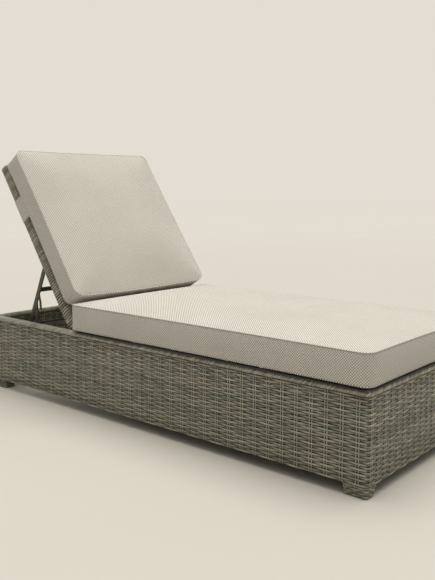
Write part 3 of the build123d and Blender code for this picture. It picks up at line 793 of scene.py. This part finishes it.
def foot_core(name, middle, half, low_z, high_z):
    """The plug inside a woven foot: rounded rectangles stacked from a narrow sole to the top."""
    count = np.linspace(0.0, 4.0, CORE_POINTS, endpoint=False)
    rings = []
    for level, less in CORE_LEVELS:
        point, _ = loop_place(count, half - FOOT_TAPER * (1 - level) - less, CORE_ROUND, (1.0, 1.0))
        rings.append(in_space(middle[:2] + point, low_z + (high_z - low_z) * level))
    index = np.arange(len(rings) * CORE_POINTS).reshape(-1, CORE_POINTS)
    caps = np.stack([index[0, ::-1], index[-1]])
    return make_mesh(name, np.array(rings), [tube_quads(index).reshape(-1, 4), caps],
                     material=materials["frame"])


class LOUNGER_OT_feet(Operator):
    """Weave the four corner feet"""
    bl_idname = "lounger.feet"
    bl_label = "Woven feet"

    def execute(self, context):
        seed = 31
        for end_name in ENDS:
            for side_name in SIDES:
                build_foot(end_name, side_name, seed)
                seed += 1
        return {"FINISHED"}


# --- Backrest sleeves and panel -------------------------------------------------------------
PAINTED_SLEEVE_EDGE_SHADE = 1.6          # painted shade: how much darker a turn round the backrest is painted along its edges
SLEEVE_TONES = (0.2, 1.15)  # darkest and lightest middles of the turns
SLEEVE_POWER = 6            # of the section's curve: the higher, the sharper its corners
SLEEVE_HALF_WIDTH = 0.46    # half of a turn's width, in pitches
SLEEVE_HALF_THICK = 0.85    # half of its thickness, in strand thicknesses
TURNS_IN = 3.0              # turns wound in towards the middle at each end
END_HOLE = 0.4              # radius that these leave open, in turns
TURN_STEPS = 20             # points in a turn


def sleeve_strand(strands, length, half, place, slant, turns_in=TURNS_IN):
    """One strand wound round a square bar. Round the bar the section is the curve
    |a|^6 + |b|^6 = half^6, so it is a square with soft corners. The strand advances one pitch in
    a turn, leans by slant(along) across the bar, and winds in towards the middle at both ends."""
    weave = bpy.context.scene.lounger_weave
    turns = length / weave.sleeve_pitch
    steps = int((turns + 2 * turns_in) * TURN_STEPS)
    turn = np.linspace(-turns_in, turns + turns_in, steps)
    angle = turn * 2 * np.pi
    a = np.cos(angle)
    b = np.sin(angle)
    scale = (np.abs(a) ** SLEEVE_POWER + np.abs(b) ** SLEEVE_POWER) ** (-1 / SLEEVE_POWER)
    past = np.maximum(-turn, turn - turns).clip(0.0)
    along = (np.clip(turn, 0.0, turns) * weave.sleeve_pitch).clip(0.0, length)
    radius = half * scale * (1.0 - past / (turns_in + END_HOLE))
    leaning = slant(along) * (b * scale * half) * (past == 0)
    point = place(np.clip(along + leaning, 0.0, length), a * radius, b * radius)
    side_a = np.sign(a) * np.abs(a) ** (SLEEVE_POWER - 1)
    side_b = np.sign(b) * np.abs(b) ** (SLEEVE_POWER - 1)
    size = np.hypot(side_a, side_b)
    zero = np.zeros(steps)
    origin = place(zero, zero, zero)
    ring_out = place(zero, side_a / size, side_b / size) - origin
    end_out = place(zero + 1.0, zero, zero) - origin
    at_end = np.clip(past, 0.0, 1.0)[:, None]
    outward = unit(ring_out * (1 - at_end) + end_out * np.sign(turn - turns / 2)[:, None] * at_end)
    shades = strands.random.uniform(*SLEEVE_TONES, int(turns + 2 * turns_in) + 3)
    tone = shades[np.floor(turn + turns_in).astype(int)]
    strands.add(point[None], outward[None], weave.sleeve_pitch * SLEEVE_HALF_WIDTH,
                weave.strand_thick * SLEEVE_HALF_THICK, tone=tone[None, :, None], edge=PAINTED_SLEEVE_EDGE_SHADE)


def hand_to_backrest(piece, node):
    """Let a woven piece ride on the backrest in place of a node."""
    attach(piece, "backrest")
    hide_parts(node)


def stile_span():
    """How far the stile runs below and above the pin, and half of its width, from the node's box."""
    low, high = corners_of("stile_wrap_near")
    half = (high[1] - low[1]) / 2
    rise = (high[2] - HINGE[2] - half * math.cos(BACK_ANGLE)) / math.sin(BACK_ANGLE)
    tail = (low[2] - HINGE[2] + half * math.cos(BACK_ANGLE)) / math.sin(BACK_ANGLE)
    return tail, rise, half


STILE_TAIL, STILE_TOP, STILE_HALF = stile_span()
STILE_CLEAR = 0.0004        # how far the strand's middle lies inside the stile's outline
STILE_SLANT = 0.75          # how much the turns lean at the lower end
STILE_SLANT_END = 0.17      # height along the stile at which they no longer lean
RAIL_CLEAR = 0.0006         # how far the strand's middle lies inside the rail's outline


def build_stile(name, side, seed):
    """The woven sleeve of one stile, slanting more and more towards its lower end."""
    low, high = corners_of(f"stile_wrap_{name}")
    middle_y = (low[1] + high[1]) / 2
    strands = Strands(seed)

    def place(along, a, b):
        return stile_place(STILE_TAIL + along, middle_y + b, a)

    def slant(along):
        return STILE_SLANT * np.clip(1.0 - along / STILE_SLANT_END, 0.0, 1.0) * -side

    sleeve_strand(strands, STILE_TOP - STILE_TAIL, STILE_HALF - STILE_CLEAR, place, slant)
    hand_to_backrest(strands.finish(f"stile_sleeve_{name}", materials["wicker_sleeve"]),
                     f"stile_wrap_{name}")


def build_rail():
    """The woven sleeve of the backrest's top rail, whose open ends lie in the stiles."""
    low, high = corners_of("back_rail_wrap")
    strands = Strands(61)

    def place(along, a, b):
        return stile_place(STILE_TOP - STILE_HALF + a, low[1] + along, b)

    sleeve_strand(strands, high[1] - low[1], STILE_HALF - RAIL_CLEAR, place, np.zeros_like, 0.0)
    hand_to_backrest(strands.finish("back_rail_sleeve", materials["wicker_sleeve"]), "back_rail_wrap")


PANEL_FORWARD = 0.016       # how far the panel lies in front of the stiles' middle
PANEL_LAP = 0.002           # how far its rows reach into the stiles' sleeves
PANEL_STAKES = 12           # pairs of stakes across it
PANEL_STEPS = 8             # points in a stake spacing
PANEL_SWING = 0.8           # how far its rows swing, in swings of the walls' rows
PANEL_WIDENS = 0.2          # share by which they are wider where they lie behind
PANEL_STAKE_RADIUS = 0.0018
PANEL_STAKE_CLEAR = 0.002   # how far the stakes stop short of its ends


def build_panel():
    """The woven panel: rows across between the stiles, over and under pairs of stakes."""
    weave = bpy.context.scene.lounger_weave
    low, high = corners_of("back_panel")
    ends = [along_stile((low[0], 0.0, high[2]))[0], along_stile((high[0], 0.0, low[2]))[0]]
    bottom, top = min(ends), max(ends)
    half_width = (high[1] - low[1]) / 2 + PANEL_LAP
    spacing = 2 * half_width / PANEL_STAKES
    strands = Strands(71)
    rows = np.arange(int((top - bottom) / weave.row_pitch))[:, None]
    across = np.linspace(-half_width, half_width, PANEL_STAKES * PANEL_STEPS + 1)
    wave = np.cos(np.pi * (across / spacing + 0.5 + rows))
    centre = stile_place(bottom + (rows + 0.5) * weave.row_pitch, across,
                         PANEL_FORWARD - weave.swing * PANEL_SWING * wave)
    widths = weave.strand_width / 2 * swelling(wave, PANEL_WIDENS)
    strands.add(centre, -FORWARD, widths, weave.strand_thick / 2, 5)
    stakes = (np.arange(PANEL_STAKES) - (PANEL_STAKES - 1) / 2) * spacing
    stake_ends = np.array([[bottom + PANEL_STAKE_CLEAR, top - PANEL_STAKE_CLEAR]])
    for hand in (-1, 1):
        line = stile_place(stake_ends, (stakes + hand * weave.stake_gap / 2)[:, None], PANEL_FORWARD)
        strands.add(line, -FORWARD, PANEL_STAKE_RADIUS, PANEL_STAKE_RADIUS)
    hand_to_backrest(strands.finish("back_panel_weave", materials["wicker_sleeve"]), "back_panel")


class LOUNGER_OT_backrest(Operator):
    """Wind the sleeves of the backrest and weave its panel"""
    bl_idname = "lounger.backrest"
    bl_label = "Backrest sleeves and panel"

    def execute(self, context):
        for seed, (name, side) in enumerate(SIDES.items()):
            build_stile(name, side, 51 + seed)
        build_rail()
        build_panel()
        return {"FINISHED"}


# --- Cushions -------------------------------------------------------------------------------
def pad_grid(half, round_, layers, cell):
    """A closed boxed pad in its own frame. Both panels are grids over the rectangle, and in each
    corner square of side r a point (a, b) goes to (a sqrt(1 - b^2 / 2r^2), b sqrt(1 - a^2 / 2r^2)),
    which bends the square's outer edges into a quarter circle. The boxing joins their outlines.
    Gives plan points, the layer of each point, faces, corner UVs and the two seam rings."""
    counts = [int(round(2 * side / cell)) for side in half]
    grid = np.stack(np.meshgrid(np.linspace(-half[0], half[0], counts[0] + 1),
                                np.linspace(-half[1], half[1], counts[1] + 1), indexing="ij"), -1)
    over = np.abs(grid) - (np.array(half) - round_)
    both = (over > 0).all(-1, keepdims=True)
    other = over[..., ::-1]
    bent = over * np.sqrt(np.clip(1 - other ** 2 / (2 * round_ ** 2), 0.0, 1.0))
    plan = np.where(both, np.sign(grid) * (np.array(half) - round_ + bent), grid)
    n, m = plan.shape[:2]
    index = np.arange(n * m).reshape(n, m)
    outline = np.concatenate([index[:-1, 0], index[-1, :-1], index[:0:-1, -1], index[0, :0:-1]])
    flat = plan.reshape(-1, 2)
    ring = len(outline)
    quads = grid_cells(index).reshape(-1, 4)
    top_start = n * m
    between = 2 * top_start + np.arange((layers - 1) * ring).reshape(layers - 1, ring)
    levels = np.concatenate([outline[None], between, top_start + outline[None]])
    points = np.concatenate([flat, flat] + [flat[outline]] * (layers - 1))
    level = np.concatenate([np.zeros(n * m), np.ones(n * m)]
                           + [np.full(ring, (k + 1) / layers) for k in range(layers - 1)])
    return {"points": points, "level": level, "bottom": quads[:, ::-1], "top": quads + top_start,
            "boxing": tube_quads(levels).reshape(-1, 4), "levels": levels,
            "outline": flat[outline], "ring": ring, "layers": layers, "top_start": top_start}


def pad_uv(grid, thick):
    """Flat cloth places of every face corner in metres: the plan on the panels, and the way round
    and up on the boxing."""
    flat = grid["points"]
    panel = [flat[grid[name]] for name in ("bottom", "top")]
    steps = np.linalg.norm(np.roll(grid["outline"], -1, axis=0) - grid["outline"], axis=-1)
    round_way = np.concatenate([[0.0], np.cumsum(steps)])
    here = np.broadcast_to(round_way[:-1], (grid["layers"], grid["ring"]))
    there = np.broadcast_to(round_way[1:], here.shape)
    low = np.broadcast_to(np.arange(grid["layers"])[:, None] * thick / grid["layers"], here.shape)
    high = low + thick / grid["layers"]
    boxing = np.stack([np.stack([here, low], -1), np.stack([there, low], -1),
                       np.stack([there, high], -1), np.stack([here, high], -1)], -2)
    return np.concatenate([part.reshape(-1, 2) for part in (*panel, boxing)])


CLOTH = {"quality": 5, "mass": 0.3, "tension_stiffness": 12.0, "compression_stiffness": 12.0,
         "shear_stiffness": 5.0, "bending_stiffness": 1.5, "use_pressure": True,
         "vertex_group_mass": "held", "pin_stiffness": 1.0}
SEAM_HOLD = 0.85            # how firmly the two seams hold the cloth while it fills


def points_of(mesh):
    """The points of a mesh as rows."""
    points = np.empty(len(mesh.vertices) * 3)
    mesh.vertices.foreach_get("co", points)
    return points.reshape(-1, 3)


def swell(piece, most, seams):
    """Fill a closed cloth with pressure for some frames and give its new points. A point that
    moved by d is kept at most * tanh(d / most) of the way. The seams are held."""
    cushion = bpy.context.scene.lounger_cushion
    before = points_of(piece.data)
    held = piece.vertex_groups.new(name=CLOTH["vertex_group_mass"])
    held.add([int(point) for point in seams], SEAM_HOLD, "REPLACE")
    cloth = piece.modifiers.new("filling", "CLOTH")
    for setting, value in CLOTH.items():
        setattr(cloth.settings, setting, value)
    cloth.settings.uniform_pressure_force = cushion.pressure
    cloth.settings.effector_weights.gravity = 0.0
    cloth.collision_settings.use_collision = False
    cloth.point_cache.frame_start = 1
    cloth.point_cache.frame_end = cushion.frames
    scene = bpy.context.scene
    for frame_number in range(1, cushion.frames + 1):
        scene.frame_set(frame_number)
    after = points_of(piece.evaluated_get(bpy.context.evaluated_depsgraph_get()).data)
    piece.modifiers.remove(cloth)
    piece.vertex_groups.remove(held)
    scene.frame_set(1)
    move = after - before
    way = np.linalg.norm(move, axis=-1, keepdims=True)
    return before + move * np.tanh(way / most) * most / np.maximum(way, 1e-9)


SEAM_CREASE = 0.72          # how sharp the seams stay when the mesh is subdivided


def finish_pad(piece, levels):
    """Crease the seam edges a little and subdivide once."""
    mesh = piece.data
    edge_points = np.empty(len(mesh.edges) * 2, dtype=np.int32)
    mesh.edges.foreach_get("vertices", edge_points)
    members = np.zeros(len(mesh.vertices), dtype=int)
    members[levels[0]] = 1
    members[levels[-1]] = 2
    pair = members[edge_points.reshape(-1, 2)]
    crease = np.where((pair[:, 0] > 0) & (pair[:, 0] == pair[:, 1]), SEAM_CREASE, 0.0)
    attribute = mesh.attributes.new("crease_edge", "FLOAT", "EDGE")
    attribute.data.foreach_set("value", crease.astype(np.float32))
    smooth = piece.modifiers.new("smooth", "SUBSURF")
    smooth.levels = 1
    smooth.render_levels = 1
    depsgraph = bpy.context.evaluated_depsgraph_get()
    final = bpy.data.meshes.new_from_object(piece.evaluated_get(depsgraph))
    piece.modifiers.clear()
    piece.data = final
    bpy.data.meshes.remove(mesh)
    final.polygons.foreach_set("use_smooth", np.ones(len(final.polygons), dtype=bool))


PINCH = 0.004               # how far the middle of a side pulls in at the seams
BELLY = 1.15                # how much of that pull the boxing gives back halfway up
CROWN_POWER = 0.6           # below one, a panel is flatter in its middle and rounder at its edge


def crowned(grid, half, low, high, rise_low, rise_high, sag):
    """Plan points and heights of a filled pad before its cloth is simulated. A panel rises by
    rise * ((1 - u^4)(1 - v^4))^power, and between its corners a side pulls in by
    pinch * (1 - v^2) at the seams and bellies out again halfway up the boxing. The first end of
    the upper panel hangs out by sag * (1 - v^2) * ((1 - u) / 2)^6."""
    plan = grid["points"].copy()
    level = grid["level"]
    share = plan / np.array(half)
    dome = np.prod((1 - share ** 4).clip(0) ** CROWN_POWER, axis=-1)
    count = grid["top_start"]
    height = low + (high - low) * level
    height[:count] -= rise_low * dome[:count]
    height[count:2 * count] += rise_high * dome[count:2 * count]
    belly = 4 * level * (1 - level)
    pull = PINCH * (1 - share[:, ::-1] ** 2) * np.sign(share) * np.abs(share) ** 6
    plan -= pull * (1 - BELLY * belly[:, None])
    plan[:, 0] -= sag * level * (1 - share[:, 1] ** 2) * ((1 - share[:, 0]) / 2) ** 6
    return plan, height


CORD_RADIUS = 0.0019
CORD_SINK = 0.0004          # how deep a cord's middle lies in the cloth
CORD_SIDES = 8
BOXING_LAYERS = 8           # rows of cells from seam to seam


def seam_cord(name, ring_points, middle, material, body):
    """The sewn cord along a seam: a round section carried along the seam's ring of points. Its
    section point is centre + side * r cos(a) + facing * r sin(a), facing away from the pad."""
    tangent = unit(np.roll(ring_points, -1, axis=0) - np.roll(ring_points, 1, axis=0))
    side = unit(np.cross(unit(ring_points - middle), tangent))
    facing = np.cross(tangent, side)
    centre = ring_points - facing * CORD_SINK
    angle = np.arange(CORD_SIDES) * 2 * np.pi / CORD_SIDES
    verts = (centre[:, None] + side[:, None] * CORD_RADIUS * np.cos(angle)[:, None]
             + facing[:, None] * CORD_RADIUS * np.sin(angle)[:, None])
    index = np.arange(len(ring_points) * CORD_SIDES).reshape(-1, CORD_SIDES)
    quads = tube_quads(np.concatenate([index, index[:1]]))
    steps = np.linalg.norm(np.roll(ring_points, -1, axis=0) - ring_points, axis=-1)
    way = np.concatenate([[0.0], np.cumsum(steps)])
    round_way = np.arange(CORD_SIDES + 1) * CORD_RADIUS * 2 * np.pi / CORD_SIDES
    flat = np.stack(np.meshgrid(way, round_way, indexing="ij"), -1)
    uv = grid_cells(flat)[:, :, [0, 3, 2, 1]]
    piece = make_mesh(name, verts, [quads.reshape(-1, 4)], uv.reshape(-1, 2), material=material)
    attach(piece, body)


def build_pad(name, node, body, half, round_, seams, rises, place, floor, most, sag, cords):
    """A boxed cushion: its grid, its filling by simulation, its seams and its two seam cords."""
    cushion = bpy.context.scene.lounger_cushion
    grid = pad_grid(half, round_, BOXING_LAYERS, cushion.cell)
    plan, height = crowned(grid, half, *seams, *rises, sag)
    faces = [np.concatenate([grid["bottom"], grid["top"], grid["boxing"]])]
    piece = make_mesh(name, place(plan, height), faces, pad_uv(grid, seams[1] - seams[0]),
                      material=materials["fabric"])
    piece.data.materials.append(materials["boxing"])
    cloth_of_face = np.ones(len(piece.data.polygons), dtype=np.int32)
    cloth_of_face[:len(grid["bottom"]) + len(grid["top"])] = 0
    piece.data.polygons.foreach_set("material_index", cloth_of_face)
    levels = grid["levels"]
    rested = floor(swell(piece, most, levels[[0, -1]].ravel()))
    piece.data.vertices.foreach_set("co", rested.astype(np.float32).ravel())
    piece.data.update()
    finish_pad(piece, levels)
    for seam_name, ring, cord in zip(("lower", "upper"), levels[[0, -1]], cords):
        seam_cord(f"{name}_{seam_name}_seam", rested[ring], rested.mean(0), materials[cord], body)
    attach(piece, body)
    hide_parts(node)


SEAT_OVERLAP = 0.006        # the filled seat cushion reaches further under the back
SEAT_REAR_BULGE = 0.008     # most that its rear side swells, short of the backrest frame
SEAT_SINK = 0.0008          # how far its underside may press into the rim and the deck
SEAT_CORNER = 0.036         # radius of its upright corners
SEAT_SEAMS = (0.0055, 0.110)        # heights of its two seams
SEAT_RISES = (0.006, 0.012)         # crowns of its lower and upper panels


class LOUNGER_OT_seat_cushion(Operator):
    """Sew and fill the seat cushion"""
    bl_idname = "lounger.seat_cushion"
    bl_label = "Seat cushion"

    def execute(self, context):
        cushion = context.scene.lounger_cushion
        low, high = corners_of("seat_cushion")
        low[0] -= SEAT_OVERLAP
        middle = (low + high) / 2
        half = (high - low)[:2] / 2

        def place(plan, height):
            return in_space(middle[:2] + plan, low[2] + height)

        def rest(points):
            points[:, 2] = np.maximum(points[:, 2], low[2] - SEAT_SINK)
            points[:, 0] = np.maximum(points[:, 0], low[0] - SEAT_REAR_BULGE)
            return points

        build_pad("seat_pad", "seat_cushion", "base", half, SEAT_CORNER, SEAT_SEAMS, SEAT_RISES,
                  place, rest, cushion.seat_swell, 0.0, ("seam", "seam"))
        return {"FINISHED"}


BACK_SAG = 0.014            # the front of the back cushion hangs lower in its middle
BACK_UP = (0.056, 0.816)    # its two ends, as distances up the stile from the pin
BACK_SIDE_CLEAR = 0.001     # how far its sides stay inside the node's box
BACK_REST = 0.0245          # distance in front of the stiles' middle at which it rests on them
BACK_CORNER = 0.040         # radius of its corners
BACK_SEAMS = (0.047, 0.134)         # distances of its seams in front of the stiles' middle
BACK_RISES = (0.010, 0.032)         # crowns of its rear and front panels


class LOUNGER_OT_back_cushion(Operator):
    """Sew and fill the back cushion"""
    bl_idname = "lounger.back_cushion"
    bl_label = "Back cushion"

    def execute(self, context):
        cushion = context.scene.lounger_cushion
        low, high = corners_of("back_cushion")
        up_low, up_high = BACK_UP
        half = np.array([(up_high - up_low) / 2, (high[1] - low[1]) / 2 - BACK_SIDE_CLEAR])
        up_middle = (up_high + up_low) / 2

        def place(plan, height):
            return stile_place(up_middle + plan[:, 0], -plan[:, 1], height)

        def rest(points):
            reach = (points - HINGE) @ FORWARD
            lift = np.maximum(BACK_REST - reach, 0.0)
            return points + lift[:, None] * FORWARD

        build_pad("back_pad", "back_cushion", "backrest", half, BACK_CORNER, BACK_SEAMS, BACK_RISES,
                  place, rest, cushion.back_swell, BACK_SAG, ("boxing", "seam_painted_highlight"))
        return {"FINISHED"}


# --- Strap ----------------------------------------------------------------------------------
STRAP_UP = (0.522, 0.634)   # its two edges, as distances up the stile from the pin
STRAP_INSET = 0.0012        # how far its middle lies inside the outer side of the node's box
STRAP_BEHIND = 0.0014       # how far it lies behind the stiles
STRAP_FRONT = 0.052         # where its ends pass under the cushion's boxing
STRAP_ROUND = 0.010         # radius of its bends
STRAP_THICK = 0.0022
STRAP_POINTS = (12, 7, 60, 13)      # points along a side, round a bend, along the back and across


class LOUNGER_OT_strap(Operator):
    """Lay the cushion's strap round the backrest frame"""
    bl_idname = "lounger.strap"
    bl_label = "Cushion strap"

    def execute(self, context):
        low, high = corners_of("back_strap")
        outside = high[1] - STRAP_INSET
        rear = -STILE_HALF - STRAP_BEHIND
        up_low, up_high = STRAP_UP
        r = STRAP_ROUND
        side_points, bend_points, back_points, across_points = STRAP_POINTS
        turn = np.linspace(0.0, np.pi / 2, bend_points)
        side_run = np.linspace(STRAP_FRONT, rear + r, side_points)[:-1]
        half_y = np.concatenate([np.full(len(side_run), outside), outside - r + r * np.cos(turn)])
        half_t = np.concatenate([side_run, rear + r - r * np.sin(turn)])
        back_y = np.linspace(outside - r, -(outside - r), back_points)[1:-1]
        y = np.concatenate([half_y, back_y, -half_y[::-1]])
        t = np.concatenate([half_t, np.full(len(back_y), rear), half_t[::-1]])
        way = np.concatenate([[0.0], np.cumsum(np.hypot(np.diff(y), np.diff(t)))])
        up = np.linspace(up_low, up_high, across_points)[:, None]
        verts = stile_place(up, y[None], t[None])
        quads = grid_cells(np.arange(len(up) * len(y)).reshape(-1, len(y)))
        uv = grid_cells(np.stack(np.broadcast_arrays(way, up), -1))
        piece = make_mesh("back_strap_band", verts, [quads.reshape(-1, 4)], uv.reshape(-1, 2),
                          material=materials["boxing"])
        wall = piece.modifiers.new("cloth", "SOLIDIFY")
        wall.thickness = STRAP_THICK
        wall.offset = 0.0
        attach(piece, "backrest")
        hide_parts("back_strap")
        return {"FINISHED"}


# --- Frame and hardware ---------------------------------------------------------------------
NODE_FINISHES = {
    "bronze": ("prop_leg", "prop_cross_bar", "prop_foot_rod", "guide_plate", "hinge_bracket"),
    "frame": ("top_rail", "bottom_rail", "corner_post", "middle_post", "stile_core", "back_rail_core",
              "back_rail_lower"),
    "deck": ("deck_slat", "deck_ledge", "deck_tube"),
    "fastener": ("slat_screws", "guide_bolts", "hinge_pin", "prop_pin"),
    "glide": ("foot_glides",),
}


class LOUNGER_OT_metalwork(Operator):
    """Give the frame, deck, prop and fasteners their finishes"""
    bl_idname = "lounger.metalwork"
    bl_label = "Metalwork finishes"

    def execute(self, context):
        for finish, starts in NODE_FINISHES.items():
            for name, node in frame["nodes"].items():
                if name.startswith(starts):
                    node.data.materials.clear()
                    node.data.materials.append(materials[finish])
        return {"FINISHED"}


# --- Stage ----------------------------------------------------------------------------------
CAMERA_PLACE = (2.04246666, -2.32793421, 0.945182381)
CAMERA_YAW = 0.709471536
CAMERA_PITCH = 0.104877832
CAMERA_LENS = 45.054
CAMERA_SHIFT = -0.0431
CAMERA_SENSOR = 36.0


def build_camera():
    """The camera, looking down the diagonal of the seat."""
    data = bpy.data.cameras.new("camera")
    data.lens = CAMERA_LENS
    data.sensor_width = CAMERA_SENSOR
    data.shift_y = CAMERA_SHIFT
    data.clip_end = 200.0
    camera = bpy.data.objects.new("camera", data)
    camera.location = CAMERA_PLACE
    camera.rotation_euler = (math.pi / 2 - CAMERA_PITCH, 0.0, CAMERA_YAW)
    bpy.context.scene.collection.objects.link(camera)
    bpy.context.scene.camera = camera


FLOOR_RADII = 0.5 * 2.0 ** np.arange(8)
FLOOR_FADE = (1.6, 14.0)    # distances at which the floor starts and ends to fade to its far colour


def build_floor(stage):
    """A wide floor as rings round the middle, each ring twice as far out as the last. It fades
    with distance to a colour that meets the backdrop."""
    angle = np.linspace(0.0, 2 * np.pi, 96, endpoint=False)
    circle = np.stack([np.cos(angle), np.sin(angle)], -1)
    verts = in_space(FLOOR_RADII[:, None, None] * circle, 0.0)
    index = np.arange(len(FLOOR_RADII) * len(angle)).reshape(-1, len(angle))
    quads = tube_quads(index).reshape(-1, 4)[:, ::-1]
    middle = index[0][None]
    material, nodes, surface = new_material("studio_floor")
    place = nodes.new("ShaderNodeTexCoord").outputs["Object"]
    tint = nodes.span(nodes.noise(place, 0.8, 2.0), 0.3, 0.7, 0.99, 1.01)
    reach = nodes.new("ShaderNodeVectorMath", {0: place}, operation="LENGTH").outputs["Value"]
    sweep = nodes.mix(nodes.span(reach, *FLOOR_FADE), [*stage.floor, 1.0], [*stage.far_floor, 1.0])
    nodes.feed(surface.inputs["Base Color"], nodes.mix(1.0, sweep, tint, "MULTIPLY"))
    surface.inputs["Roughness"].default_value = 0.9
    surface.inputs["Specular IOR Level"].default_value = 0.1
    floor = make_mesh("studio_floor", verts, [quads, middle], material=material)


FILL_COLOUR = (1.0, 0.975, 0.93)
FILL_AT_HORIZON = 0.06      # strength of the light round the horizon
KEY_COLOUR = (1.0, 0.97, 0.92)
KEY_ANGLE = math.radians(55.0)      # how wide the key light is, so its shadows are soft
KEY_LEAN = math.radians(-6.0)       # how far it leans from straight above, round the long axis


def build_lights(stage):
    """A light that grows from the horizon to overhead, and one soft light from nearly above."""
    world = bpy.data.worlds.new("studio")
    world.use_nodes = True
    bpy.context.scene.world = world
    nodes = Nodes(world.node_tree)
    world.node_tree.nodes.clear()
    path = nodes.new("ShaderNodeLightPath")
    seen = nodes.new("ShaderNodeBackground", {"Color": [*stage.backdrop, 1.0], "Strength": 1.0})
    way = nodes.new("ShaderNodeTexCoord").outputs["Generated"]
    height = nodes.new("ShaderNodeSeparateXYZ", {0: way}).outputs["Z"]
    strength = nodes.span(height, 0.0, 1.0, FILL_AT_HORIZON, stage.fill)
    fill = nodes.new("ShaderNodeBackground", {"Color": [*FILL_COLOUR, 1.0], "Strength": strength})
    blend = nodes.new("ShaderNodeMixShader", {0: path.outputs["Is Camera Ray"], 1: fill.outputs[0],
                                              2: seen.outputs[0]})
    nodes.new("ShaderNodeOutputWorld", {"Surface": blend.outputs[0]})
    data = bpy.data.lights.new("key_light", "SUN")
    data.energy = stage.key
    data.angle = KEY_ANGLE
    data.color = KEY_COLOUR
    key = bpy.data.objects.new("key_light", data)
    key.rotation_euler = (KEY_LEAN, 0.0, 0.0)
    bpy.context.scene.collection.objects.link(key)


class LOUNGER_OT_stage(Operator):
    """Set up the floor, the lights and the camera"""
    bl_idname = "lounger.stage"
    bl_label = "Stage"

    def execute(self, context):
        stage = context.scene.lounger_stage
        build_floor(stage)
        build_lights(stage)
        build_camera()
        context.scene.view_settings.view_transform = "Standard"
        context.scene.view_settings.look = "None"
        return {"FINISHED"}


# --- Add-on ---------------------------------------------------------------------------------
STEPS = (LOUNGER_OT_stage, LOUNGER_OT_metalwork, LOUNGER_OT_walls, LOUNGER_OT_feet,
         LOUNGER_OT_backrest, LOUNGER_OT_seat_cushion, LOUNGER_OT_back_cushion, LOUNGER_OT_strap)


class LOUNGER_PT_build(Panel):
    """Lists the steps that build the lounger"""
    bl_idname = "LOUNGER_PT_build"
    bl_label = "Sun lounger"
    bl_space_type = "VIEW_3D"
    bl_region_type = "UI"
    bl_category = "Lounger"

    def draw(self, context):
        for step in STEPS:
            self.layout.operator(step.bl_idname, text=step.bl_label)
        for settings in (context.scene.lounger_weave, context.scene.lounger_cushion,
                         context.scene.lounger_stage):
            box = self.layout.box()
            for key in settings.__annotations__:
                box.prop(settings, key)


CLASSES = (WeaveSettings, CushionSettings, StageSettings, *STEPS, LOUNGER_PT_build)


def register():
    """Register the classes and hang the settings on the scene."""
    for each in CLASSES:
        bpy.utils.register_class(each)
    bpy.types.Scene.lounger_weave = PointerProperty(type=WeaveSettings)
    bpy.types.Scene.lounger_cushion = PointerProperty(type=CushionSettings)
    bpy.types.Scene.lounger_stage = PointerProperty(type=StageSettings)


def unregister():
    """Take the settings and the classes away again."""
    del bpy.types.Scene.lounger_weave
    del bpy.types.Scene.lounger_cushion
    del bpy.types.Scene.lounger_stage
    for each in reversed(CLASSES):
        bpy.utils.unregister_class(each)


def main():
    """Build every piece in order."""
    register()
    make_materials()
    for step in STEPS:
        group, name = step.bl_idname.split(".")
        getattr(getattr(bpy.ops, group), name)()


if __name__ == "__main__":
    main()
